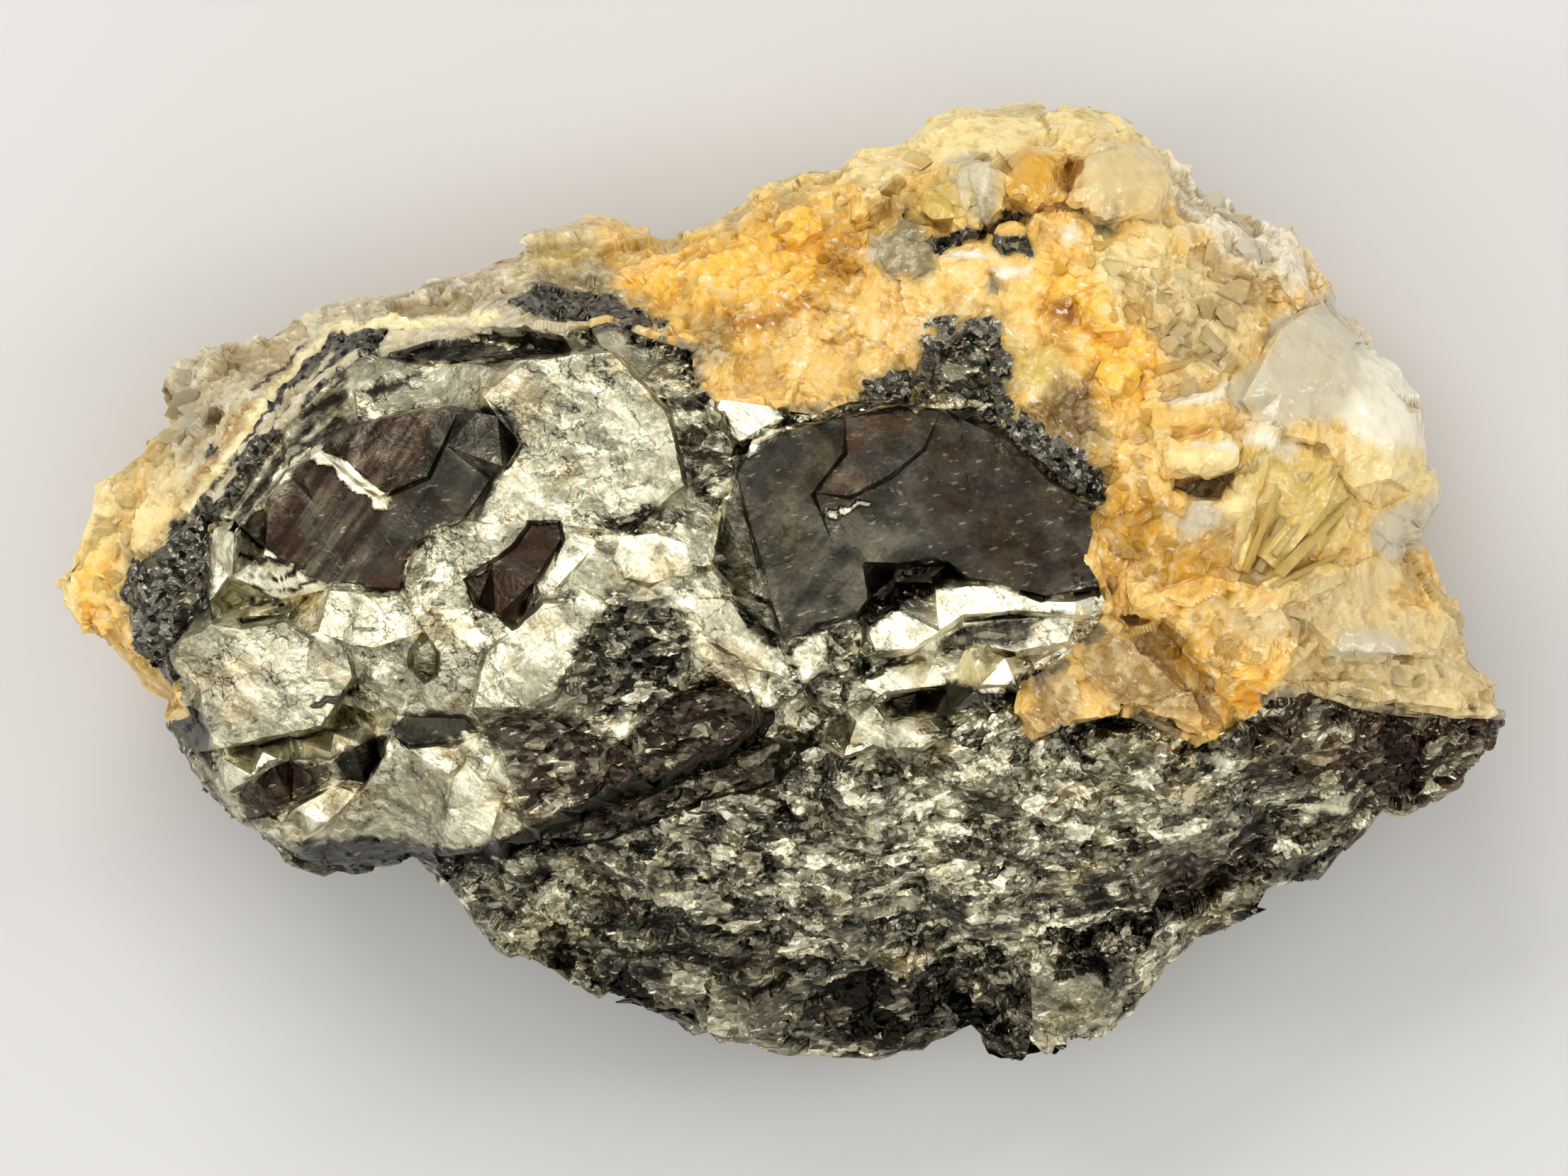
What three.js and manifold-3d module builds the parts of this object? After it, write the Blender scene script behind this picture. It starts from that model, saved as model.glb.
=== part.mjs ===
// A broken stone of pyrite with quartz, lying on its flat underside with its best side up.
// Millimetres. +X is to the right of the best side, +Y is towards its top edge, +Z is up.
// The origin is under the middle of the stone, on the surface that it rests on.
import * as THREE from "three";
import { mergeVertices } from "three/addons/utils/BufferGeometryUtils.js";
import Module from "manifold-3d";

const wasm = await Module();
wasm.setup();

// Driving dimensions
const SHOULDER_POWER = 2.2; // 2 is a quarter circle, and more is squarer
const UNDERSIDE_DROP = 3; // how far below the rest plane the middle would reach, if it weren't cut off flat
const TOP_RINGS = [0.15, 0.55, 1.25, 2.2]; // distances from the rim of the points on the steep sides
const UNDERSIDE_RINGS = [0.25, 1.0, 2.4];
const GRID = 2.3; // spacing of the points on the top side
const UNDERSIDE_GRID = 4.2;
const STEP_WIDTH = 0.26; // width of the cliff at a facet's edge, seen from above
const ROUGHNESS = 0.55; // how far broken surfaces rise and fall
const CONTACT_GAP = 0.32; // clearance between the two minerals
const CONTACT_SLANT = 0.18; // how far quartz runs in under the pyrite, as a share of the way to its core
const PYRITE_CORE = [0, -9];

const PYRITE_COLOR = 0x8f8768;
const QUARTZ_COLOR = 0xd9a55c;

// The outline of the stone, seen from above
const outline = [
  [-36.0, 0.2], [-35.2, 1.8], [-34.6, 3.2], [-34.3, 4.7], [-33.4, 6.3], [-32.2, 7.5], [-31.1, 8.1],
  [-31.3, 9.5], [-30.3, 11.2], [-28.2, 12.3], [-26.0, 13.0], [-23.2, 14.3], [-20.2, 14.9],
  [-17.6, 15.8], [-15.0, 16.6], [-12.8, 17.7], [-10.0, 18.1], [-7.4, 17.8], [-5.0, 18.2],
  [-3.3, 18.8], [-1.4, 20.1], [0.5, 21.0], [3.4, 21.4], [6.1, 21.9], [7.3, 23.2], [8.6, 23.8],
  [10.2, 24.0], [12.2, 24.4], [15.0, 24.4], [17.2, 23.8], [18.2, 22.9], [18.8, 21.8], [20.5, 21.3],
  [21.1, 20.0], [22.4, 19.8], [24.4, 18.4], [25.6, 18.5], [26.6, 17.0], [27.5, 15.2], [27.7, 14.0],
  [29.0, 12.8], [30.6, 11.0], [32.3, 9.2], [32.6, 7.4], [32.8, 5.1], [31.9, 2.2], [33.1, 0.0],
  [34.3, -1.1], [34.5, -3.3], [35.7, -4.7], [36.0, -6.4], [35.7, -8.3], [33.6, -10.1], [31.2, -11.4],
  [30.0, -11.2], [29.0, -12.6], [26.9, -14.8], [24.6, -15.8], [24.1, -16.8], [20.6, -17.8],
  [18.5, -19.4], [16.6, -21.8], [14.2, -23.8], [11.8, -24.4], [10.2, -23.7], [9.3, -22.3],
  [7.0, -23.3], [4.2, -23.8], [1.2, -23.3], [-2.2, -22.8], [-5.4, -22.1], [-8.0, -21.6],
  [-10.4, -20.0], [-13.2, -18.5], [-15.4, -17.0], [-17.0, -15.0], [-18.6, -13.8], [-21.6, -14.3],
  [-24.2, -13.7], [-27.2, -12.0], [-29.2, -10.2], [-30.6, -8.4], [-30.9, -6.4], [-32.2, -4.9],
  [-33.2, -3.4], [-34.8, -2.1],
];

// How high the widest outline lies at a few places: [x, y, z]
const rimHeights = [
  [-36, 0, 14.5], [-31, 9, 13], [-24, 14, 11], [-12, 18, 9.5], [-2, 20, 12], [8, 24, 13.5], [16, 24, 11],
  [24, 18, 9.5], [30, 11, 12.5], [33, 3, 10], [36, -6, 12.5], [30, -11, 10], [24, -16, 8], [14, -24, 9.5],
  [9, -22, 7], [2, -23, 8.5], [-9, -21, 10.5], [-17, -15, 9], [-24, -14, 13], [-31, -8, 11.5],
];

// The distance over which the side rounds up from the rim, and down to the flat below it: [x, y, distance]
const topShoulders = [
  [-36, 0, 6], [-32, 8, 8], [-24, 14, 10], [-12, 18, 9], [0, 21, 8], [12, 24, 6], [20, 21, 8], [27, 16, 7],
  [32, 8, 6], [33, 0, 9], [36, -6, 10], [30, -11, 8], [24, -16, 9], [14, -24, 7], [4, -24, 9], [-8, -21, 8],
  [-17, -15, 6], [-25, -13, 4.5], [-30, -8, 4.5],
];
const bottomShoulders = [
  [-36, 0, 9], [-30, 10, 13], [-18, 15, 8], [-4, 19, 12], [8, 24, 13], [18, 22, 9], [27, 14, 14], [33, 4, 10],
  [36, -6, 13], [28, -13, 8], [18, -19, 12], [12, -24, 9], [0, -23, 13], [-12, -19, 8], [-22, -14, 12],
  [-31, -7, 8],
];

// The line where the high front mass breaks off above the lower granular mass
const crevice = [
  [-20.2, -16.0], [-18.8, -13.6], [-15.0, -13.1], [-12.0, -12.0], [-8.0, -10.0], [-5.0, -9.0],
  [-2.4, -7.8], [-0.9, -6.1], [0.6, -5.3], [2.4, -6.3], [4.8, -6.6], [8.2, -6.4], [11.6, -6.1],
  [12.6, -7.3], [15.0, -6.6], [17.4, -6.1], [19.4, -6.8], [21.6, -7.8], [23.4, -6.7], [25.2, -5.3],
  [28.0, -5.0], [30.4, -5.7], [33.2, -6.1], [40.0, -6.4],
];
const frontMass = [...crevice, [40, 30], [-40, 30], [-40, -16]];

// Heights of the two masses at a few places: [x, y, z]
const frontHeights = [
  [-34, 1, 16], [-32, 5, 16], [-30, 10, 17], [-25, 12, 20], [-17, 15, 19.5], [-9, 16, 19.5],
  [-30, 0, 20], [-27, 8, 22.5], [-24, 5, 25], [-20, 11, 24], [-13, 11, 26], [-29, -7, 21],
  [-25, -4, 25.5], [-24, -11, 22], [-19, -12, 23], [-16, -9, 25.5], [-19, -3, 27], [-14, 5, 27.5],
  [-10, 8, 27], [-8, 2, 27.6], [-12, -4, 27.8], [-9, -8, 25.6], [-4, -6, 26.2], [-5, 10, 24.5],
  [-3, -2, 27.2], [2, 4, 27], [8, 5, 27.4], [13, 2, 26.4], [6, -4, 25.4], [11, -5, 24],
  [-6, 15, 21.5], [0, 18, 21.5], [2, 12, 24], [7, 20, 21], [11, 22, 20], [16, 20, 22.5],
  [10, 15, 24.5], [16, 14, 24.8], [16, 8, 26], [18, 3, 26.2], [20, -1, 25.8], [15, -5, 23],
  [21, -5, 23.4], [22, 17, 20.5], [25, 14, 21], [28, 9, 22], [31, 6, 19], [25, 4, 24.6],
  [28, 0, 22.4], [32, -1, 19.6], [33, -4, 18.4], [28, -4, 21],
];
const lowerHeights = [
  [-16, -15, 14.5], [-10, -13, 17.5], [-4, -10.5, 20], [-1, -9, 21.5], [4, -9, 23], [10, -9, 22.8],
  [18, -9, 21.8], [25, -8, 20.4], [32, -8, 17.6], [-11, -17, 14.6], [-5, -15, 18.2], [2, -15, 19.4],
  [10, -14, 19.6], [18, -13, 19], [25, -12, 17.5], [-6, -20, 13.6], [1, -20, 14.6], [4, -22, 13],
  [9.5, -20, 12.4], [13, -21, 14.6], [18, -17, 16],
];

// Flat faces, ledges and pits. z is the height at the middle, and tilt is the slope along X and Y.
const pyriteFacets = [
  { name: "matte shoulder plate", z: 27.0, tilt: [0.05, -0.12],
    points: [[-15.0, 3.2], [-12.6, 3.2], [-9.0, 2.8], [-6.9, 3.2], [-4.8, 5.0], [-5.6, 8.6], [-8.4, 11.6],
      [-12.4, 11.4], [-14.8, 9.4], [-13.0, 7.4]] },
  { name: "dark striated face", z: 26.0, tilt: [0.03, 0.02],
    points: [[-26.8, 3.0], [-24.2, 1.0], [-22.2, 0.0], [-18.8, -0.1], [-18.0, 2.2], [-15.6, 3.4],
      [-13.1, 7.0], [-13.6, 8.4], [-16.4, 9.0], [-19.8, 8.4], [-22.4, 7.4]] },
  { name: "raised layer of the striated face", z: 26.5, tilt: [0.03, 0.05],
    points: [[-22.9, 6.7], [-19.8, 4.4], [-17.4, 5.4], [-15.9, 8.6], [-16.6, 8.9], [-19.8, 8.3], [-22.0, 7.6]] },
  { name: "outer growth layer", z: 23.6, tilt: [0.35, -0.35],
    points: [[-28.6, 3.8], [-27.0, 3.2], [-23.2, 7.0], [-21.8, 8.0], [-21.2, 9.8], [-22.8, 11.2]] },
  { name: "striped flank", z: 25.2, tilt: [0.1, 0.45],
    points: [[-27.0, 2.7], [-24.0, 0.8], [-22.4, -0.1], [-24.8, -0.7], [-26.7, -1.5], [-27.2, 0.6]] },
  { name: "narrow grey bar", z: 24.2, tilt: [0.55, 0.0],
    points: [[-28.1, 3.0], [-27.2, 2.8], [-27.3, 0.6], [-26.9, -1.6], [-28.2, -1.9], [-28.4, 0.6]] },
  { name: "dark left hollow", z: 19.4, tilt: [0.25, 0.05],
    points: [[-32.2, 0.4], [-30.2, 2.8], [-28.4, 3.2], [-28.7, -0.4], [-29.8, -2.6], [-31.4, -3.8], [-32.4, -1.6]] },
  { name: "broad matte plate", z: 26.0, tilt: [0.16, -0.05],
    points: [[-29.2, -1.6], [-26.6, -1.9], [-24.4, -1.6], [-21.3, -2.9], [-21.0, -4.4], [-22.6, -6.8],
      [-27.9, -8.0], [-30.2, -5.1], [-30.2, -3.4]] },
  { name: "bright upper plate", z: 26.6, tilt: [0.02, -0.3],
    points: [[-24.5, -1.3], [-22.4, -0.1], [-18.9, -0.3], [-17.6, -2.2], [-20.0, -3.0], [-23.2, -2.4]] },
  { name: "bright lip", z: 25.4, tilt: [0.14, -0.5],
    points: [[-27.7, -8.3], [-23.6, -7.5], [-18.9, -6.2], [-19.6, -7.0], [-22.2, -8.2], [-24.8, -8.5],
      [-27.4, -10.1]] },
  { name: "dark left wedge", z: 22.0, tilt: [0.5, 0.3],
    points: [[-30.4, -5.5], [-29.3, -5.7], [-28.3, -7.0], [-28.1, -9.2], [-29.0, -8.2], [-30.5, -7.0]] },
  { name: "brown pocket", z: 21.8, tilt: [0.1, 0.25],
    points: [[-27.0, -10.2], [-25.2, -8.7], [-23.0, -8.5], [-22.3, -9.4], [-24.2, -10.8], [-26.6, -11.6]] },
  { name: "striped facet", z: 22.6, tilt: [0.2, -0.35],
    points: [[-24.2, -10.9], [-22.2, -9.6], [-21.0, -10.1], [-22.4, -11.6], [-23.8, -12.7], [-25.8, -11.9]] },
  { name: "dark pit under the lip", z: 22.6, tilt: [0.1, 0.1],
    points: [[-22.2, -8.5], [-20.0, -7.4], [-19.8, -8.4], [-20.6, -9.6], [-21.6, -9.4]] },
  { name: "triangular plate", z: 25.4, tilt: [-0.12, -0.06],
    points: [[-16.3, -9.2], [-15.6, -8.4], [-13.8, -10.5], [-14.3, -12.2], [-15.0, -13.0], [-17.0, -12.6]] },
  { name: "dark facet above it", z: 25.2, tilt: [0.1, 0.3],
    points: [[-18.6, -6.2], [-15.6, -6.3], [-14.8, -7.2], [-16.0, -7.6], [-18.4, -7.8], [-19.4, -7.2]] },
  { name: "brown block", z: 26.0, tilt: [-0.05, 0.18],
    points: [[-14.6, -6.6], [-11.4, -6.2], [-9.0, -7.8], [-9.4, -10.2], [-12.8, -11.4], [-13.4, -9.6]] },
  { name: "bright plate on the ridge", z: 27.8, tilt: [-0.1, -0.2],
    points: [[-13.2, -2.2], [-11.8, -0.7], [-9.0, -0.5], [-9.4, -2.2], [-11.0, -5.0], [-12.6, -5.9],
      [-15.2, -5.9], [-14.6, -3.0]] },
  { name: "oval hollow", z: 25.2, tilt: [0.0, 0.3],
    points: [[-18.2, -3.0], [-17.4, -2.4], [-16.9, -3.2], [-17.0, -4.3], [-17.6, -4.6], [-18.3, -3.9]] },
  { name: "brown facets", z: 26.4, tilt: [0.1, 0.2],
    points: [[-15.6, 0.4], [-13.2, 2.0], [-12.4, 3.2], [-11.0, 3.2], [-10.8, 2.4], [-12.2, 0.2], [-13.0, -1.8],
      [-15.1, -0.8]] },
  { name: "bright splinter", z: 27.2, tilt: [0.3, -0.3],
    points: [[-12.0, 0.0], [-10.6, 2.4], [-9.6, 2.8], [-9.2, 2.0], [-10.6, 0.4], [-11.4, -0.4]] },
  { name: "small bright face", z: 27.5, tilt: [-0.05, -0.2],
    points: [[-8.0, 2.6], [-6.2, 2.8], [-4.6, 2.2], [-4.6, 1.2], [-6.6, 0.1], [-7.8, 0.4], [-8.4, 1.6]] },
  { name: "rounded dark block", z: 26.4, tilt: [-0.05, 0.2],
    points: [[-6.8, -6.6], [-5.0, -5.2], [-3.0, -4.9], [-1.4, -5.8], [-1.6, -7.2], [-4.0, -8.4], [-7.0, -9.2],
      [-8.6, -9.6], [-8.6, -8.0]] },
  { name: "dark curved groove", z: 22.6, tilt: [0.05, -0.25],
    points: [[-21.3, 12.2], [-19.6, 12.8], [-16.0, 12.9], [-12.6, 12.6], [-9.2, 12.0], [-11.4, 11.4],
      [-15.0, 11.1], [-18.6, 11.2], [-20.4, 11.6]] },
  { name: "dark crystal face", z: 27.2, tilt: [-0.01, 0.03],
    points: [[-1.2, 1.0], [-2.4, 5.6], [-1.8, 6.6], [0.0, 7.7], [2.8, 8.6], [6.0, 9.0], [9.4, 8.6], [11.2, 7.2],
      [13.0, 5.3], [15.2, 3.8], [15.0, 1.6], [15.6, 0.1], [12.8, -0.5], [9.0, 0.4], [5.4, 0.4], [1.6, -1.8],
      [-0.1, -2.5]] },
  { name: "bevelled side of the crystal", z: 26.3, tilt: [0.55, 0.25],
    points: [[-3.3, 2.0], [-2.9, 4.0], [-2.3, 5.5], [-1.3, 1.0], [-0.3, -2.6], [-1.4, -1.8]] },
  { name: "lower corner of the crystal", z: 26.8, tilt: [0.02, 0.16],
    points: [[-1.0, 1.0], [2.4, 2.0], [5.4, 0.4], [5.2, -0.8], [2.2, -1.7], [0.0, -2.4]] },
  { name: "red layer", z: 26.9, tilt: [0.06, -0.04],
    points: [[1.4, 4.6], [3.0, 6.6], [2.9, 8.4], [6.4, 8.8], [8.6, 8.2], [5.2, 5.4], [3.2, 4.4]] },
  { name: "bright square face", z: 26.2, tilt: [-0.14, -0.3],
    points: [[-3.4, 9.5], [-1.5, 9.6], [0.0, 8.4], [-2.2, 7.1]] },
  { name: "side of the square face", z: 25.4, tilt: [0.6, 0.1],
    points: [[-4.0, 9.2], [-3.5, 9.5], [-2.3, 7.0], [-2.6, 6.3]] },
  { name: "black hollow under the crystal", z: 24.6, tilt: [0.0, 0.1],
    points: [[4.2, -0.5], [5.6, 1.1], [8.0, 1.2], [9.0, 0.4], [7.0, 0.2], [5.4, -0.9]] },
  { name: "bright crest", z: 27.1, tilt: [0.02, -0.3],
    points: [[4.0, -1.8], [5.4, -0.9], [7.4, 0.1], [10.4, 0.2], [12.6, -0.6], [14.2, -0.6], [15.3, -0.3],
      [16.0, -1.0], [14.2, -1.4], [11.0, -1.2], [8.8, -1.4], [6.4, -3.1], [4.4, -3.2]] },
  { name: "dark wedge between ledges", z: 25.4, tilt: [0.05, 0.35],
    points: [[6.6, -3.0], [8.8, -1.6], [11.0, -1.4], [14.2, -1.5], [15.6, -1.3], [14.0, -2.7], [11.4, -3.2],
      [9.0, -2.8]] },
  { name: "second ledge", z: 25.4, tilt: [0.02, -0.28],
    points: [[3.0, -4.7], [5.2, -3.7], [9.6, -3.0], [12.2, -3.8], [11.4, -4.8], [8.0, -4.9], [5.0, -5.2],
      [2.8, -5.6]] },
  { name: "dark lens", z: 23.2, tilt: [0.0, 0.3],
    points: [[5.2, -5.5], [6.8, -5.0], [9.2, -5.1], [11.0, -6.1], [8.2, -6.3], [6.0, -6.2]] },
  { name: "grey knob", z: 24.8, tilt: [0.1, -0.15],
    points: [[1.8, -7.7], [3.0, -6.0], [4.4, -5.6], [5.0, -6.4], [4.5, -7.8], [3.0, -8.3]] },
  { name: "grey knob beside it", z: 24.4, tilt: [-0.1, -0.1],
    points: [[5.2, -6.5], [7.3, -6.4], [8.0, -7.2], [6.8, -8.0], [5.1, -7.9]] },
  { name: "smooth flank left of the crystal", z: 26.4, tilt: [-0.1, -0.12],
    points: [[-5.3, -0.6], [-4.4, 0.6], [-3.5, 1.0], [-1.7, -1.9], [-0.4, -2.9], [0.5, -4.6], [-2.0, -3.7],
      [-4.2, -2.2]] },
  { name: "facet below the crystal", z: 26.3, tilt: [0.3, -0.1],
    points: [[0.2, -2.9], [1.6, -2.1], [2.0, -3.4], [1.2, -4.6], [0.8, -4.4]] },
  { name: "facet beside it", z: 26.2, tilt: [-0.3, -0.2],
    points: [[2.1, -2.2], [3.5, -3.5], [3.9, -4.4], [2.4, -4.0]] },
  { name: "smooth sill under the break", z: 18.6, tilt: [0.28, 0.1],
    points: [[-14.0, -13.6], [-8.0, -10.8], [-2.8, -8.6], [-0.2, -7.6], [-0.4, -9.6], [-4.0, -10.6], [-8.6, -12.4]] },
  { name: "flat grey face in the grains", z: 22.2, tilt: [0.05, -0.1],
    points: [[14.4, -8.0], [16.2, -7.0], [19.0, -7.6], [18.6, -9.0], [16.4, -9.6], [14.8, -9.0]] },
  { name: "split below the grains", z: 14.8, tilt: [0.0, 0.25],
    points: [[6.0, -19.0], [9.0, -18.0], [14.0, -17.2], [18.4, -16.6], [18.4, -17.3], [13.6, -18.2], [9.4, -19.4]] },
  { name: "cleft between the lobes", z: 9.6, tilt: [0.0, 0.5],
    points: [[8.8, -19.6], [9.8, -19.4], [10.4, -21.4], [10.0, -23.4], [9.0, -22.2], [8.6, -21.2]] },
];
const quartzFacets = [
  { name: "broad grey face", z: 22.6, tilt: [-0.36, -0.1],
    points: [[22.4, 9.2], [24.4, 12.8], [26.8, 14.4], [28.4, 13.0], [31.8, 9.0], [32.0, 6.0], [30.0, 5.3],
      [28.0, 4.8], [26.6, 7.0], [24.0, 7.6]] },
  { name: "corner face", z: 19.8, tilt: [-0.5, 0.2],
    points: [[30.2, 4.3], [32.4, 4.9], [31.6, 2.3], [29.8, 2.1], [29.0, 3.0]] },
  { name: "sloping slab", z: 21.6, tilt: [-0.3, 0.06],
    points: [[25.4, 0.2], [29.6, 1.7], [31.6, 1.9], [32.8, 0.0], [33.8, -1.2], [34.0, -3.0], [31.0, -3.3],
      [27.4, -3.2], [25.6, -1.6]] },
  { name: "lower sill", z: 19.6, tilt: [-0.22, 0.3],
    points: [[25.6, -3.4], [31.0, -3.5], [34.0, -3.3], [34.8, -4.7], [30.2, -5.2], [27.8, -4.7], [25.4, -4.8]] },
  { name: "orange wedge", z: 25.6, tilt: [-0.1, 0.2],
    points: [[17.2, -0.8], [20.4, 0.6], [24.0, -0.2], [25.4, -2.6], [24.2, -4.4], [22.7, -6.2], [21.3, -4.5],
      [19.6, -2.8]] },
  { name: "crevice beside the wedge", z: 22.6, tilt: [-0.15, 0.0],
    points: [[16.6, -1.2], [17.2, -1.0], [19.5, -3.0], [21.2, -4.7], [22.5, -6.6], [21.6, -7.2], [19.6, -5.0],
      [17.6, -3.2]] },
  { name: "shell-shaped block", z: 23.8, tilt: [-0.05, -0.28],
    points: [[14.3, 21.2], [15.8, 22.0], [18.0, 21.2], [18.5, 19.7], [17.3, 18.4], [15.8, 18.0], [14.3, 19.0]] },
  { name: "block beside it", z: 23.2, tilt: [0.1, -0.25],
    points: [[11.1, 20.6], [12.6, 21.8], [13.9, 21.4], [13.9, 19.2], [12.8, 18.8], [11.3, 19.2]] },
  { name: "dark slot", z: 20.8, tilt: [0.0, 0.2],
    points: [[8.4, 17.5], [9.6, 17.9], [12.2, 18.5], [12.0, 17.5], [9.8, 17.0]] },
  { name: "smoky cluster", z: 23.6, tilt: [0.2, -0.2],
    points: [[5.0, 17.4], [6.0, 18.6], [7.4, 17.8], [7.6, 15.6], [5.8, 15.0], [4.8, 16.0]] },
  { name: "cream block", z: 23.6, tilt: [0.0, -0.2],
    points: [[7.0, 18.6], [7.8, 20.6], [10.8, 20.4], [10.8, 18.6], [9.0, 18.0]] },
  { name: "shadowed hollow", z: 23.2, tilt: [0.0, 0.1],
    points: [[18.9, 5.8], [21.2, 5.4], [22.2, 5.8], [21.4, 4.4], [19.8, 4.4], [19.0, 4.8]] },
  { name: "grey shard", z: 21.6, tilt: [-0.3, -0.1],
    points: [[24.8, 17.8], [26.6, 16.4], [27.2, 15.2], [25.0, 14.3], [24.2, 15.8]] },
];

// Planes along which the lower sides broke off: a point on each, and the direction of what is gone
const breaks = [
  { through: [-10, 17.5, 8], away: [-0.35, 0.78, -0.52] },
  { through: [10, 22.5, 9], away: [0.1, 0.8, -0.6] },
  { through: [28, 13, 7.5], away: [0.75, 0.45, -0.48] },
  { through: [33, -5, 7.5], away: [0.8, -0.25, -0.55] },
  { through: [20, -17.5, 5.5], away: [0.35, -0.75, -0.56] },
  { through: [-5, -20.5, 6.5], away: [-0.3, -0.78, -0.55] },
  { through: [-29, -8.5, 8.5], away: [-0.75, -0.5, -0.43] },
  { through: [-34.5, 1, 10.5], away: [-0.8, 0.25, -0.55] },
];

// The edge of the exposed quartz, from the left tip round the top to the right end
const contact = [
  [-45.0, -9.0], [-31.3, -6.0], [-31.6, -4.2], [-32.6, -1.6], [-32.7, 0.3], [-31.2, 1.4], [-30.6, 2.7],
  [-29.7, 3.8], [-28.9, 5.6], [-27.4, 7.3], [-26.0, 9.2], [-24.2, 11.4], [-22.6, 12.9], [-19.0, 13.7],
  [-15.0, 14.1], [-11.4, 13.9], [-9.2, 14.6], [-6.2, 13.3], [-4.5, 12.7], [-4.5, 11.2], [-3.4, 10.1],
  [-1.0, 9.8], [1.6, 9.4], [3.4, 10.1], [5.8, 10.2], [7.3, 11.2], [8.0, 12.7], [9.6, 14.0], [10.8, 13.2],
  [10.9, 10.4], [11.2, 8.6], [12.8, 7.2], [15.4, 5.6], [15.9, 3.7], [15.4, 1.8], [16.5, 0.0],
  [16.2, -1.6], [14.6, -3.3], [12.4, -4.5], [12.0, -6.0], [12.9, -7.2], [15.0, -6.4], [17.4, -5.9],
  [19.4, -6.6], [21.6, -7.6], [23.4, -6.5], [25.2, -5.1], [28.0, -4.8], [30.4, -5.5], [33.2, -5.9],
  [45.0, -6.4],
];
const outsideCorners = [[45, 45], [-45, 45]];

// Groups of small quartz crystals: where, over what spread, how many, how thick, and how far they lean
const crystalGroups = [
  { at: [1, 17.0], spread: [4.4, 2.2], count: 6, radius: [0.8, 1.4], lean: 1.3 },
  { at: [0, 12.4], spread: [3.4, 1.2], count: 4, radius: [0.7, 1.1], lean: 1.3 },
  { at: [9, 17.4], spread: [2.6, 1.8], count: 7, radius: [0.7, 1.2], lean: 1.2 },
  { at: [14, 22.0], spread: [3.8, 1.0], count: 5, radius: [1.1, 1.7], lean: 1.0 },
  { at: [17, 15.0], spread: [2.8, 2.6], count: 7, radius: [0.7, 1.3], lean: 1.3 },
  { at: [16.4, 9.0], spread: [1.2, 2.6], count: 6, radius: [0.5, 0.9], lean: 1.3 },
  { at: [16.9, 2.8], spread: [1.0, 2.4], count: 7, radius: [0.5, 0.9], lean: 1.3 },
  { at: [21.4, 14.6], spread: [2.0, 3.4], count: 7, radius: [0.8, 1.5], lean: 1.2 },
  { at: [26.4, 3.4], spread: [1.8, 1.8], count: 4, radius: [0.7, 1.1], lean: 1.3 },
  { at: [22.4, -2.6], spread: [1.8, 1.8], count: 5, radius: [0.6, 1.0], lean: 1.3 },
  { at: [-33.4, 4.6], spread: [0.9, 2.2], count: 4, radius: [0.8, 1.3], lean: 1.0 },
];
// Larger crystals lying half sunk in the quartz: where each starts and ends, its radius, and how high it lies
const largeCrystals = [
  { from: [17.6, 9.6], to: [22.2, 10.8], radius: 1.0, lift: 0.3 },
  { from: [17.8, 8.0], to: [22.4, 8.8], radius: 0.95, lift: 0.5 },
  { from: [18.4, 6.3], to: [22.6, 7.0], radius: 1.05, lift: 0.6 },
  { from: [23.6, 8.0], to: [22.4, 3.4], radius: 1.0, lift: 0.4 },
  { from: [23.6, 1.2], to: [27.4, 6.0], radius: 0.9, lift: 0.5 },
  { from: [25.6, 0.8], to: [28.0, 4.6], radius: 1.0, lift: 0.2 },
  { from: [22.2, 0.8], to: [23.2, 4.6], radius: 0.8, lift: 0.2 },
  { from: [23.8, -0.4], to: [28.0, 1.0], radius: 0.8, lift: 0.4 },
];
const TIP_SHARE = 0.35; // the pointed end's share of a crystal's length

// A repeatable random number from 0 to 1 for each call
function randomFrom(seed) {
  let state = seed;
  return () => {
    state = (state * 1664525 + 1013904223) % 4294967296;
    return state / 4294967296;
  };
}

// The same height, from -1 to 1, for the same place each time
function patch(i, j, seed) {
  const s = Math.sin(i * 127.1 + j * 311.7 + seed * 74.7) * 43758.5453;
  return 2 * (s - Math.floor(s)) - 1;
}

// Broken rock: each cell of the plan is a small plane of its own height and slope
function brokenRelief(x, y, cell, seed) {
  const ci = Math.floor(x / cell);
  const cj = Math.floor(y / cell);
  let nearest = Infinity;
  let height = 0;
  for (let i = ci - 1; i <= ci + 1; i++)
    for (let j = cj - 1; j <= cj + 1; j++) {
      const px = (i + 0.5 + 0.4 * patch(i, j, seed)) * cell;
      const py = (j + 0.5 + 0.4 * patch(i, j, seed + 1)) * cell;
      const far = (x - px) ** 2 + (y - py) ** 2;
      if (far >= nearest) continue;
      nearest = far;
      const slopeX = patch(i, j, seed + 2) * 0.5;
      const slopeY = patch(i, j, seed + 3) * 0.5;
      height = patch(i, j, seed + 4) + ((x - px) * slopeX + (y - py) * slopeY) / cell;
    }
  return height;
}

function isInside([x, y], points) {
  let inside = false;
  for (let i = 0, j = points.length - 1; i < points.length; j = i++) {
    const [xi, yi] = points[i];
    const [xj, yj] = points[j];
    if (yi > y !== yj > y && x < ((xj - xi) * (y - yi)) / (yj - yi) + xi) inside = !inside;
  }
  return inside;
}

function distanceToSegment([x, y], [ax, ay], [bx, by]) {
  const dx = bx - ax;
  const dy = by - ay;
  const t = Math.min(1, Math.max(0, ((x - ax) * dx + (y - ay) * dy) / (dx * dx + dy * dy)));
  return Math.hypot(x - ax - t * dx, y - ay - t * dy);
}

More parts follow.
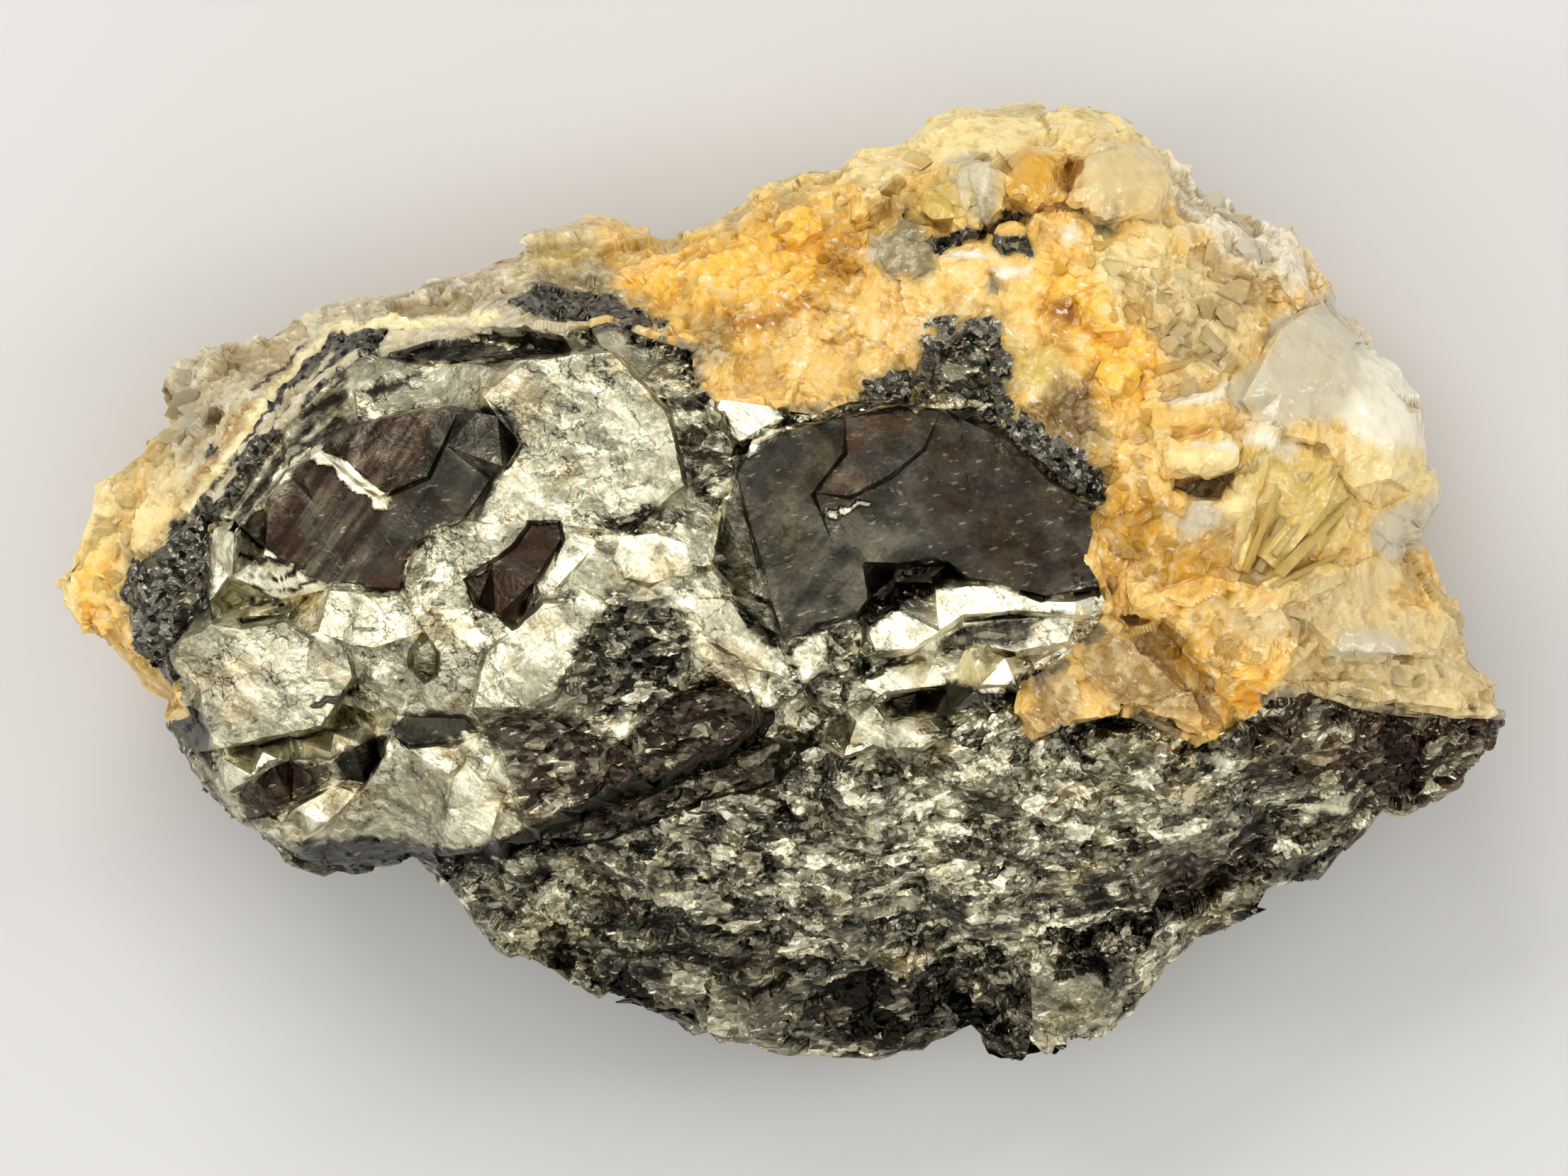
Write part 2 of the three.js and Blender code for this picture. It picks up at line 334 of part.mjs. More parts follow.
function distanceToLine(point, points, closed = true) {
  let least = Infinity;
  const last = closed ? points.length : points.length - 1;
  for (let i = 0; i < last; i++)
    least = Math.min(least, distanceToSegment(point, points[i], points[(i + 1) % points.length]));
  return least;
}

// Weights nearby heights most
function heightFrom(places, x, y) {
  let sum = 0;
  let weights = 0;
  for (const [px, py, pz] of places) {
    const weight = 1 / ((x - px) ** 2 + (y - py) ** 2 + 0.5) ** 1.6;
    sum += weight * pz;
    weights += weight;
  }
  return sum / weights;
}

function middleOf(points) {
  const sum = points.reduce(([x, y], [px, py]) => [x + px, y + py], [0, 0]);
  return sum.map((v) => v / points.length);
}

const facets = [...pyriteFacets, ...quartzFacets].map((facet) => ({ ...facet, middle: middleOf(facet.points) }));

// Rounds up from 0 at the rim to 1 at the width
function shoulder(distance, width) {
  const t = Math.min(1, distance / width);
  return (1 - (1 - t) ** SHOULDER_POWER) ** (1 / SHOULDER_POWER);
}

function rimHeight(x, y) {
  return heightFrom(rimHeights, x, y) + 0.9 * brokenRelief(x, y, 5, 31);
}

function topHeight(x, y) {
  const fromRim = distanceToLine([x, y], outline);
  const facet = facets.findLast((f) => isInside([x, y], f.points));
  let height;
  if (facet) {
    height = facet.z + facet.tilt[0] * (x - facet.middle[0]) + facet.tilt[1] * (y - facet.middle[1]);
  } else {
    const front = isInside([x, y], frontMass);
    height = heightFrom(front ? frontHeights : lowerHeights, x, y);
    height += ROUGHNESS * (brokenRelief(x, y, 3.1, 3) + 0.5 * brokenRelief(x, y, 1.7, 11));
  }
  const rim = rimHeight(x, y);
  const width = heightFrom(topShoulders, x, y) * (1 + 0.3 * brokenRelief(x, y, 6, 41));
  return rim + (height - rim) * shoulder(fromRim, width);
}

function undersideHeight(x, y) {
  const fromRim = distanceToLine([x, y], outline);
  const rim = rimHeight(x, y);
  const width = heightFrom(bottomShoulders, x, y) * (1 + 0.25 * brokenRelief(x, y, 7, 43));
  const height = rim - (rim + UNDERSIDE_DROP) * shoulder(fromRim, width);
  return Math.max(0, height + 0.9 * brokenRelief(x, y, 6.5, 21) * Math.min(1, fromRim / 3));
}

// Points along a line, no further apart than the spacing
function pointsAlong(points, spacing, closed = true) {
  const made = [];
  const last = closed ? points.length : points.length - 1;
  for (let i = 0; i < last; i++) {
    const [ax, ay] = points[i];
    const [bx, by] = points[(i + 1) % points.length];
    const count = Math.max(1, Math.ceil(Math.hypot(bx - ax, by - ay) / spacing));
    for (let k = 0; k < count; k++) made.push([ax + ((bx - ax) * k) / count, ay + ((by - ay) * k) / count]);
  }
  return made;
}

// Moves a closed line sideways: outwards where the distance is positive and the line runs anticlockwise
function offset(points, distance) {
  const count = points.length;
  const turn = Math.sign(points.reduce((sum, [x, y], i) => {
    const [nx, ny] = points[(i + 1) % count];
    return sum + x * ny - nx * y;
  }, 0));
  return points.map(([x, y], i) => {
    const [px, py] = points[(i + count - 1) % count];
    const [nx, ny] = points[(i + 1) % count];
    const a = new THREE.Vector2(x - px, y - py).normalize();
    const b = new THREE.Vector2(nx - x, ny - y).normalize();
    const side = new THREE.Vector2(a.y + b.y, -a.x - b.x).normalize();
    return [x + turn * distance * side.x, y + turn * distance * side.y];
  });
}

// A jittered grid inside the outline that keeps clear of the points already there
function fillPoints(fixed, spacing, seed) {
  const random = randomFrom(seed);
  const made = [];
  const rowHeight = spacing * 0.866;
  const clear = spacing * 0.62;
  for (let row = -30; row <= 30; row++)
    for (let column = -30; column <= 30; column++) {
      const x = (column + (row % 2 ? 0.5 : 0)) * spacing + (random() - 0.5) * spacing * 0.5;
      const y = row * rowHeight + (random() - 0.5) * spacing * 0.5;
      if (!isInside([x, y], outline)) continue;
      if (distanceToLine([x, y], outline) < clear) continue;
      if (fixed.every(([px, py]) => Math.hypot(px - x, py - y) > clear)) made.push([x, y]);
    }
  return made;
}

// Points in pairs, just inside and just outside each facet's edge, so that its steps stay sharp
function edgePoints() {
  const made = [];
  const half = STEP_WIDTH / 2;
  for (const line of [...facets.map((f) => f.points), frontMass])
    for (const away of [-half, half])
      for (const point of pointsAlong(offset(line, away), GRID)) {
        if (!isInside(point, outline) || distanceToLine(point, outline) < 0.6) continue;
        if (made.every(([x, y]) => Math.hypot(point[0] - x, point[1] - y) > STEP_WIDTH * 0.7)) made.push(point);
      }
  return made;
}

function withCircle(v, points) {
  const [[ax, ay], [bx, by], [cx, cy]] = v.map((i) => points[i]);
  const d = 2 * (ax * (by - cy) + bx * (cy - ay) + cx * (ay - by));
  const a2 = ax * ax + ay * ay;
  const b2 = bx * bx + by * by;
  const c2 = cx * cx + cy * cy;
  const x = (a2 * (by - cy) + b2 * (cy - ay) + c2 * (ay - by)) / d;
  const y = (a2 * (cx - bx) + b2 * (ax - cx) + c2 * (bx - ax)) / d;
  return { v, x, y, r2: (ax - x) ** 2 + (ay - y) ** 2 };
}

// Triangles over points of the plan, by the Bowyer-Watson method
function triangulate(points) {
  const far = 1e4;
  const n = points.length;
  const all = [...points, [-far, -far], [far, -far], [0, far]];
  let triangles = [withCircle([n, n + 1, n + 2], all)];
  points.forEach(([x, y], i) => {
    const edges = new Map();
    triangles = triangles.filter((t) => {
      if ((x - t.x) ** 2 + (y - t.y) ** 2 >= t.r2) return true;
      for (let k = 0; k < 3; k++) {
        const a = t.v[k];
        const b = t.v[(k + 1) % 3];
        if (!edges.delete(b + "," + a)) edges.set(a + "," + b, [a, b]);
      }
      return false;
    });
    for (const [a, b] of edges.values()) triangles.push(withCircle([a, b, i], all));
  });
  const inPlan = (t) => {
    if (t.v.some((v) => v >= n)) return false;
    return isInside(middleOf(t.v.map((v) => points[v])), outline);
  };
  return triangles.filter(inPlan).map((t) => t.v);
}

// One side of the stone over the plan. The rim's own points come first and are shared by both sides.
function sideTriangles(rim, inner, height, faceUp) {
  const points = [...rim, ...inner];
  const corner = (i) => {
    const [x, y] = points[i];
    return [x, y, i < rim.length ? rimHeight(x, y) : height(x, y)];
  };
  return triangulate(points).flatMap(([a, b, c]) => (faceUp ? [a, b, c] : [a, c, b]).flatMap(corner));
}

function solidFrom(coordinates) {
  const geometry = new THREE.BufferGeometry();
  geometry.setAttribute("position", new THREE.Float32BufferAttribute(coordinates, 3));
  const merged = mergeVertices(geometry, 1e-3);
  return new wasm.Manifold(new wasm.Mesh({
    numProp: 3,
    vertProperties: merged.attributes.position.array,
    triVerts: new Uint32Array(merged.index.array),
  }));
}

// Points on lines inside the rim, staggered so that the steep sides break up into facets
function ringPoints(distances, spacing, seed) {
  const random = randomFrom(seed);
  const made = [];
  for (const distance of distances)
    for (const [x, y] of pointsAlong(offset(outline, -distance), spacing)) {
      const point = [x + (random() - 0.5) * distance * 0.5, y + (random() - 0.5) * distance * 0.5];
      if (!isInside(point, outline) || distanceToLine(point, outline) < distance * 0.5) continue;
      if (made.every(([px, py]) => Math.hypot(point[0] - px, point[1] - py) > distance * 0.5)) made.push(point);
    }
  return made;
}

function stoneSolid() {
  const rim = pointsAlong(outline, GRID);
  const edges = edgePoints();
  const clearOfEdges = (point) => edges.every(([x, y]) => Math.hypot(point[0] - x, point[1] - y) > 0.3);
  const rings = ringPoints(TOP_RINGS, GRID * 1.1, 13).filter(clearOfEdges);
  const top = [...edges, ...rings, ...fillPoints([...rim, ...edges, ...rings], GRID, 5)];
  const undersideRings = ringPoints(UNDERSIDE_RINGS, GRID * 1.3, 17);
  const underside = [...undersideRings, ...fillPoints([...rim, ...undersideRings], UNDERSIDE_GRID, 9)];
  const whole = solidFrom([
    ...sideTriangles(rim, top, topHeight, true),
    ...sideTriangles(rim, underside, undersideHeight, false),
  ]);
  return breaks.reduce((left, one) => left.subtract(brokenOff(one)), whole);
}

// A block with one face on the plane of a break
function brokenOff({ through, away }) {
  const side = 120;
  const direction = new THREE.Vector3(...away).normalize();
  const geometry = new THREE.BoxGeometry(side, side, side).toNonIndexed();
  geometry.applyQuaternion(new THREE.Quaternion().setFromUnitVectors(new THREE.Vector3(0, 0, 1), direction));
  geometry.translate(...new THREE.Vector3(...through).addScaledVector(direction, side / 2).toArray());
  return solidFrom([...geometry.attributes.position.array]);
}

// The space that quartz may fill: its edge seen from above, running in under the pyrite further down
function quartzSpace(grow) {
  const top = offset([...contact, ...outsideCorners], grow);
  const bottom = top.map(([x, y], i) => {
    const inner = i > 0 && i < contact.length - 1;
    const share = inner ? CONTACT_SLANT : 0;
    return [x + share * (PYRITE_CORE[0] - x), y + share * (PYRITE_CORE[1] - y)];
  });
  const [low, high] = [-5, 35];
  const coordinates = [];
  const cap = (points, z, faceUp) => {
    const vectors = points.map(([x, y]) => new THREE.Vector2(x, y));
    for (const [a, b, c] of THREE.ShapeUtils.triangulateShape(vectors, []))
      for (const i of faceUp ? [a, b, c] : [a, c, b]) coordinates.push(...points[i], z);
  };
  cap(top, high, true);
  cap(bottom, low, false);
  top.forEach((p, i) => {
    const j = (i + 1) % top.length;
    const corners = [[...bottom[i], low], [...bottom[j], low], [...top[j], high], [...top[i], high]];
    for (const k of [0, 1, 2, 0, 2, 3]) coordinates.push(...corners[k]);
  });
  return solidFrom(coordinates);
}

// A six-sided crystal with a pointed end
function crystal(foot, along, radius, length, turn) {
  const shaft = length * (1 - TIP_SHARE);
  const ring = (z) => Array.from({ length: 6 }, (_, k) => {
    const angle = turn + (k * Math.PI) / 3;
    return new THREE.Vector3(radius * Math.cos(angle), radius * Math.sin(angle), z);
  });
  const low = ring(0);
  const high = ring(shaft);
  const tip = new THREE.Vector3(0, 0, length);
  const base = new THREE.Vector3(0, 0, 0);
  const corners = [];
  for (let k = 0; k < 6; k++) {
    const j = (k + 1) % 6;
    corners.push(low[k], low[j], high[j], low[k], high[j], high[k]);
    corners.push(high[k], high[j], tip, low[j], low[k], base);
  }
  const up = new THREE.Vector3(0, 0, 1);
  const rotation = new THREE.Quaternion().setFromUnitVectors(up, new THREE.Vector3(...along).normalize());
  const place = (v) => v.clone().applyQuaternion(rotation).add(new THREE.Vector3(...foot)).toArray();
  return solidFrom(corners.flatMap(place));
}

function crystalSolids() {
  const random = randomFrom(77);
  const between = ([low, high]) => low + (high - low) * random();
  const taken = [];
  const made = largeCrystals.map(({ from, to, radius, lift }) => {
    const [start, end] = [from, to].map(([x, y]) => new THREE.Vector3(x, y, topHeight(x, y) + lift - radius * 0.5));
    const along = end.clone().sub(start);
    for (const share of [0, 0.33, 0.67, 1]) taken.push({ at: start.clone().addScaledVector(along, share), radius });
    return crystal(start.toArray(), along.toArray(), radius, along.length(), random());
  });
  for (const group of crystalGroups)
    for (let n = 0; n < group.count; n++) {
      const angle = random() * 2 * Math.PI;
      const out = Math.sqrt(random());
      const x = group.at[0] + group.spread[0] * out * Math.cos(angle);
      const y = group.at[1] + group.spread[1] * out * Math.sin(angle);
      if (!isInside([x, y], outline) || distanceToLine([x, y], outline) < 2.2) continue;
      const radius = between(group.radius);
      if (taken.some((one) => Math.hypot(one.at.x - x, one.at.y - y) < one.radius + radius * 1.1)) continue;
      taken.push({ at: { x, y }, radius });
      const along = [group.lean * (2 * random() - 1), group.lean * (2 * random() - 1), 1];
      made.push(crystal([x, y, topHeight(x, y) - 1.6 * radius], along, radius, radius * (2.2 + random()), random()));
    }
  return made;
}

function meshFrom(name, solid, material) {
  const { numVert, numProp, vertProperties, triVerts } = solid.getMesh();
  const positions = new Float32Array(numVert * 3);
  for (let i = 0; i < numVert; i++)
    positions.set(vertProperties.subarray(i * numProp, i * numProp + 3), i * 3);
  const geometry = new THREE.BufferGeometry();
  geometry.setAttribute("position", new THREE.BufferAttribute(positions, 3));
  geometry.setIndex(new THREE.BufferAttribute(triVerts, 1));
  geometry.computeVertexNormals();
  const mesh = new THREE.Mesh(geometry, material);
  mesh.name = name;
  return mesh;
}

const stone = stoneSolid();
const pyriteSolid = stone.subtract(quartzSpace(CONTACT_GAP));
const quartzSolid = crystalSolids().reduce((sum, one) => sum.add(one), stone).intersect(quartzSpace(0));

const specimen = new THREE.Group();
specimen.add(
  meshFrom("pyrite", pyriteSolid, new THREE.MeshStandardMaterial({
    color: PYRITE_COLOR, roughness: 0.35, metalness: 1,
  })),
  meshFrom("quartz", quartzSolid, new THREE.MeshStandardMaterial({
    color: QUARTZ_COLOR, roughness: 0.3, metalness: 0,
  })),
);

export default specimen;
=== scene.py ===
import math

import bpy
import numpy as np
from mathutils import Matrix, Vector
from mathutils.bvhtree import BVHTree


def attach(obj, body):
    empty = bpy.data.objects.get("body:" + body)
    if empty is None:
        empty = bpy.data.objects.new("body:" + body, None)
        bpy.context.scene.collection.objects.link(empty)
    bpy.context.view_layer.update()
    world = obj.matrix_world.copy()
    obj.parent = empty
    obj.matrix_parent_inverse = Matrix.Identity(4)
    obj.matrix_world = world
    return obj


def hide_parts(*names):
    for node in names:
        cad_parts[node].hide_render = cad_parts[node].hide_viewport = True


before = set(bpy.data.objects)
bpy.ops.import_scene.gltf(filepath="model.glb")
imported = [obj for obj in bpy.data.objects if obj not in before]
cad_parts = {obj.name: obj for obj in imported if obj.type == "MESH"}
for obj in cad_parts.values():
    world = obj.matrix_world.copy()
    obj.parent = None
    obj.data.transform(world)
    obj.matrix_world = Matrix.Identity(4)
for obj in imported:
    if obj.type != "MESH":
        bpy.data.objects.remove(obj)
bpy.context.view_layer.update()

# Everything below is in millimetres until a mesh is made. The plan is the stone seen from above.
MM = 0.001
RNG = np.random.default_rng(41)

# Longest edge of the triangles in each kind of place
EDGE_TOP = 0.34
EDGE_HIGH = 0.5
EDGE_WALL = 1.0
EDGE_UNDERSIDE = 1.8
EDGE_CONTACT = 2.6
SHARP_ANGLE = math.radians(28)

# Heights over the surface that the stone rests on
UNDERSIDE_TO = 0.6
TOP_FROM = 9
CRYSTALS_FROM = 14
HIGH_FROM = 16
CONTACT_TO = 21
ABOVE_ALL = 40

# The contact of the two minerals
CONTACT_REACH = 0.55  # a face this near to the other mineral is part of their contact
CONTACT_STAIN = 1.6  # how far the two minerals mix along their contact
CONTACT_SWELL = 0.2  # closes the CAD's clearance between the two minerals

# From where to where an effect sets in or fades out, along X or along Z
STAIN_FADE_X = (-12, -6)
BREAKS_FADE_X = (-37, -31)
BREAKS_FADE_Z = (12, 19)
PYRITE_PAINT_Z = (10, 14)
QUARTZ_PAINT_Z = (5, 12)

# Directions in the pyrite: the turn that lays points along its grain, and the way across its streaks
FOLIATION = np.array([[0.985, 0.17, 0], [-0.17, 0.985, 0], [0, 0, 1]])
ACROSS_STREAKS = (-0.766, 0.643)

# The pyrite's zones. shade: tone, 0 black, 1 silver: partly the pyrite's own, mostly painted reflections
# and shade on each facet, above 1 for painted highlights. red: maroon film. grain: grains with painted
# sparkle. streak: bands. soft: fade.
PYRITE_ZONES = [
    # the granular mass below the break
    dict(shade=0.47, grain=0.9, soft=0.5, points=[
        (-24, -13.4), (-18.8, -13.6), (-15, -13.1), (-12, -12), (-8, -10), (-5, -9), (-2.4, -7.8),
        (-0.9, -6.1), (0.6, -5.3), (2.4, -6.3), (4.8, -6.6), (8.2, -6.4), (11.6, -6.1), (12.6, -7.3),
        (15, -6.6), (17.4, -6.1), (19.4, -6.8), (21.6, -7.8), (23.4, -6.7), (25.2, -5.3), (28, -5),
        (30.4, -5.7), (40, -6), (40, -30), (-24, -30)]),
    dict(shade=0.27, grain=0.7, soft=1.2, red=0.7, points=[
        (22, -8), (24.5, -5), (30, -4.6), (38, -5), (38, -13), (29, -13), (26, -10), (23, -9.4)]),
    # painted shade, darker towards the lower left and bottom, then a painted lighter band in the middle
    dict(shade=0.36, grain=0.75, soft=2.0, points=[
        (-19, -13), (-9, -10.4), (-7, -13), (-3, -17), (3, -19.4), (8, -20), (8, -26), (-20, -24)]),
    dict(shade=0.54, grain=0.8, soft=1.5, points=[
        (0, -7), (8, -7.4), (15, -8), (22, -10), (22, -13), (16, -13.6), (9, -13), (3, -11.5), (0, -9.5)]),
    # painted shadow under the overhang of the left block, with a little maroon film
    dict(shade=0.26, grain=0.5, red=0.25, soft=0.5, points=[
        (-14, -13), (-8, -10.6), (-3.2, -8.8), (-1.4, -7.4), (0.4, -7.4), (0.4, -8.6), (-0.6, -9.8),
        (-4, -10.6), (-9, -12.3)]),
    # the left block
    dict(shade=0.7, grain=0.25, soft=0.5, points=[
        (-29, -9), (-28.6, 3), (-26, 8), (-22, 12), (-14, 13.6), (-8, 12.6), (-4.2, 10), (-2.6, 5),
        (-3.4, 0), (-1, -4), (1, -6), (-5, -8.6), (-13, -12.8), (-20, -14), (-27, -12)]),
    dict(shade=0.2, grain=0.85, soft=0.3, points=[
        (-11.6, 14.6), (-9.6, 14.8), (-5.6, 13), (-4.4, 11.4), (-6.2, 11.6), (-8.4, 12.4), (-10.6, 12.4)]),
    dict(shade=0.16, grain=0.5, soft=0.3, points=[
        (-33.4, -2), (-32.4, 1.2), (-30.4, 3.4), (-28.3, 4.6), (-28.4, -1.4), (-30.4, -5), (-32, -5)]),
    dict(shade=0.6, grain=0.1, soft=0.3, points=[
        (-15, 3.2), (-12.6, 3.2), (-9, 2.8), (-6.9, 3.2), (-4.8, 5), (-5.6, 8.6), (-8.4, 11.2),
        (-12.4, 11.2), (-14.8, 9.4), (-13, 7.4)]),
    dict(shade=0.72, grain=0.05, soft=0.5, points=[
        (-9.4, 9.8), (-6.2, 8.6), (-5.2, 5.6), (-6.6, 4.4), (-8.4, 6.6)]),
    dict(shade=0.78, grain=0.0, soft=0.3, points=[
        (-14, 6.4), (-11.6, 6.6), (-9.6, 4.4), (-11, 3.4), (-14.6, 3.4)]),
    dict(shade=0.16, grain=0.02, streak=1.0, red=0.55, soft=0.1, points=[
        (-26.9, 2.9), (-24.2, 1), (-22.2, 0), (-18.8, -0.1), (-18, 2.2), (-15.6, 3.4),
        (-13.1, 7), (-13.6, 8.4), (-16.4, 9), (-19.8, 8.4), (-22, 8), (-23, 6.9)]),
    dict(shade=0.1, streak=0.3, soft=0.3, points=[
        (-20.8, 1.8), (-19.5, 4.2), (-17.5, 6.6), (-16.3, 9), (-13.2, 8.6), (-12.8, 7),
        (-15.6, 3.4), (-17.8, 2.2)]),
    # painted lighter, where this steep facet would reflect only the dark
    dict(shade=0.26, soft=0.1, points=[
        (-17.2, 7), (-16, 6.2), (-14.2, 5.5), (-13.8, 6.4), (-15, 6.6)]),
    dict(shade=0.16, red=0.7, soft=0.15, points=[
        (-20.5, -0.1), (-18.8, 0), (-18.6, 1.2), (-19.4, 1.7), (-20.8, 0.9)]),
    dict(shade=0.42, streak=1.4, red=0.4, soft=0.2, points=[
        (-29.4, 3.9), (-28, 5.6), (-27, 7.2), (-25.4, 8.8), (-23.2, 11.2), (-21.4, 11.2),
        (-20.4, 9.6), (-20.4, 8.6), (-22.2, 7.9), (-23.2, 6.9), (-26.8, 3.1), (-27.6, 3.4)]),
    dict(shade=0.82, grain=0.05, soft=0.2, points=[
        (-21, 8.6), (-19, 9), (-15.4, 9.4), (-13.6, 9), (-12.4, 10.6), (-18.6, 11),
        (-21.4, 10.8), (-21.6, 9.6)]),
    dict(shade=0.12, soft=0.12, points=[(-21, 9.9), (-18.1, 10.4), (-20.2, 9.2)]),
    dict(shade=0.12, streak=0.6, soft=0.15, points=[
        (-21.3, 12.2), (-19.6, 12.8), (-16, 12.9), (-12.6, 12.6), (-9.2, 12), (-11.4, 11.4),
        (-15, 11.1), (-18.6, 11.2), (-20.4, 11.6)]),
    # painted highlights on steep facets that face away from the lamps
    dict(shade=1.1, grain=0.05, streak=0.3, soft=0.12, points=[
        (-26.9, 2.8), (-24, 0.9), (-22.4, 0), (-24.8, -0.9), (-26.4, -1.5), (-26.6, 0.6)]),
    dict(shade=0.95, streak=0.3, soft=0.15, points=[
        (-28, 3), (-27, 3), (-26.6, 0.6), (-26.7, -1.6), (-27.9, -1.8), (-28, 0.6)]),
    dict(shade=0.66, grain=0.04, soft=0.15, points=[
        (-29.2, -1.6), (-26.6, -1.9), (-24.4, -1.6), (-21.3, -2.9), (-21, -4.4), (-22.6, -6.8),
        (-27.9, -8), (-30.2, -5.1), (-30.2, -3.4)]),
    dict(shade=0.84, grain=0.05, soft=0.12, points=[
        (-24.5, -1.3), (-22.4, -0.1), (-18.9, -0.3), (-17.6, -2.2), (-20, -3), (-23.2, -2.4)]),
    dict(shade=1.0, grain=0.05, soft=0.12, points=[
        (-27.7, -8.3), (-23.6, -7.5), (-18.9, -6.2), (-19.6, -7), (-22.2, -8.2), (-24.8, -8.5),
        (-27.4, -10.1)]),
    dict(shade=0.08, soft=0.12, points=[
        (-30.4, -5.5), (-29.3, -5.7), (-28.3, -7), (-28.1, -9.2), (-29, -8.2), (-30.5, -7)]),
    dict(shade=0.18, red=0.8, grain=0.3, soft=0.25, points=[
        (-27, -10.2), (-25.2, -8.7), (-23, -8.5), (-22.3, -9.4), (-24.2, -10.8), (-26.6, -11.6)]),
    dict(shade=0.92, streak=0.5, soft=0.12, points=[
        (-24.2, -10.9), (-22.2, -9.6), (-21, -10.1), (-22.4, -11.6), (-23.8, -12.7), (-25.8, -11.9)]),
    dict(shade=0.07, grain=0.3, soft=0.2, points=[
        (-24.6, -13.4), (-23.6, -12.7), (-21, -12.3), (-18.6, -12.6), (-18.8, -14.4), (-24.6, -14.4)]),
    dict(shade=0.08, grain=0.2, soft=0.15, points=[
        (-22.2, -8.5), (-20, -7.4), (-19.8, -8.4), (-20.6, -9.6), (-21.6, -9.4)]),
    dict(shade=0.88, grain=0.03, soft=0.12, points=[
        (-16.3, -9.2), (-15.6, -8.4), (-13.8, -10.5), (-14.3, -12.2), (-15, -13), (-17, -12.6)]),
    dict(shade=0.13, soft=0.15, points=[
        (-18.6, -6.2), (-15.6, -6.3), (-14.8, -7.2), (-16, -7.6), (-18.4, -7.8), (-19.4, -7.2)]),
    dict(shade=0.16, red=0.4, grain=0.6, soft=0.5, points=[
        (-15.4, -6.4), (-11.4, -5.8), (-8.6, -7.2), (-8.2, -9.6), (-12.4, -11.6), (-13.2, -9.6)]),
    dict(shade=0.78, grain=0.08, soft=0.15, points=[
        (-13.2, -2.2), (-11.8, -0.7), (-9, -0.5), (-9.4, -2.2), (-11, -5), (-12.6, -5.9),
        (-15.2, -5.9), (-14.6, -3)]),
    dict(shade=0.14, red=0.8, soft=0.12, points=[
        (-15.6, 0.4), (-13.2, 2), (-12.4, 3.2), (-11, 3.2), (-10.8, 2.4), (-12.2, 0.2),
        (-13, -1.8), (-15.1, -0.8)]),
    dict(shade=0.95, soft=0.1, points=[
        (-12, 0), (-10.6, 2.4), (-9.6, 2.8), (-9.2, 2), (-10.6, 0.4), (-11.4, -0.4)]),
    dict(shade=0.3, grain=0.9, soft=0.4, points=[
        (-10.8, -4.6), (-9.2, -1.4), (-8.6, 0), (-6, -0.4), (-4.6, -2), (-4.4, -4.6), (-6, -6),
        (-9, -6.4)]),
    dict(shade=0.12, grain=0.8, soft=0.3, points=[
        (-9.2, 3.2), (-6.4, 4.2), (-4.6, 3.6), (-5.4, 2.8), (-8, 2.7)]),
    dict(shade=0.97, grain=0.05, soft=0.12, points=[
        (-8, 2.6), (-6.2, 2.8), (-4.6, 2.2), (-4.6, 1.2), (-6.6, 0.1), (-7.8, 0.4), (-8.4, 1.6)]),
    dict(shade=0.13, grain=0.65, red=0.4, soft=0.35, points=[
        (-6.8, -6.6), (-5, -4.8), (-3, -4.3), (-1.4, -5.4), (-0.9, -6.6), (-1.8, -7.8),
        (-4, -9.2), (-7, -9.8), (-8.6, -9.6), (-8.6, -8)]),
    dict(shade=0.3, grain=0.7, soft=0.4, points=[
        (-5.8, 9.4), (-4.2, 10.2), (-3.4, 9.2), (-2.7, 6), (-3.2, 3.8), (-4.6, 4.4), (-5, 7)]),
    # the crystal face, painted dark for the dark that it reflects, and its ledges
    dict(shade=0.13, grain=0.04, streak=0.12, soft=0.12, points=[
        (-3.3, 2), (-2.9, 4), (-2.4, 5.6), (-1.8, 6.6), (0, 7.7), (2.8, 8.6), (6, 9),
        (9.4, 8.6), (11.2, 7.2), (13, 5.3), (15.2, 3.8), (15, 1.6), (15.6, 0.1), (12.8, -0.5),
        (9, 0.4), (5.4, 0.4), (1.6, -1.8), (-0.1, -2.5), (-1.4, -1.8)]),
    dict(shade=0.085, grain=0.06, red=0.3, soft=0.5, points=[
        (6.6, 8.4), (11.2, 7.2), (13.6, 4.8), (15.2, 3.6), (15.2, 0.2), (9.4, 0.6), (8, 1.8),
        (6.6, 5.4)]),
    dict(shade=0.15, grain=0.1, red=0.8, soft=0.2, points=[
        (2.7, 6.3), (2.7, 8.6), (6.2, 9), (6, 7.6)]),
    dict(shade=0.17, grain=0.1, red=0.6, soft=0.3, points=[
        (1.7, 3.8), (2.3, 5.6), (4.8, 6.4), (3.9, 4.7)]),
    dict(shade=0.2, grain=0.06, streak=0.3, soft=0.6, points=[
        (-2.6, 4.6), (0.6, 4.4), (2.6, 3.4), (6, 2.6), (4.4, 0.4), (3.6, -1.6), (0, -2.4), (-2.6, 0.6)]),
    dict(shade=0.36, streak=0.3, soft=0.15, points=[
        (-3.3, 2), (-2.9, 4), (-2.3, 5.5), (-1.3, 1), (-0.3, -2.6), (-1.4, -1.8)]),
    dict(shade=0.3, grain=0.9, soft=0.3, points=[
        (-2, 6.6), (0, 8.1), (2.6, 9.1), (6, 9.6), (9.8, 9.3), (9.4, 8.7), (6, 8.9), (2.8, 8.4),
        (0, 7.4)]),
    # a painted highlight on a small clean facet
    dict(shade=1.9, soft=0.06, points=[(-3.4, 9.5), (-1.5, 9.6), (0, 8.4), (-2.2, 7.1)]),
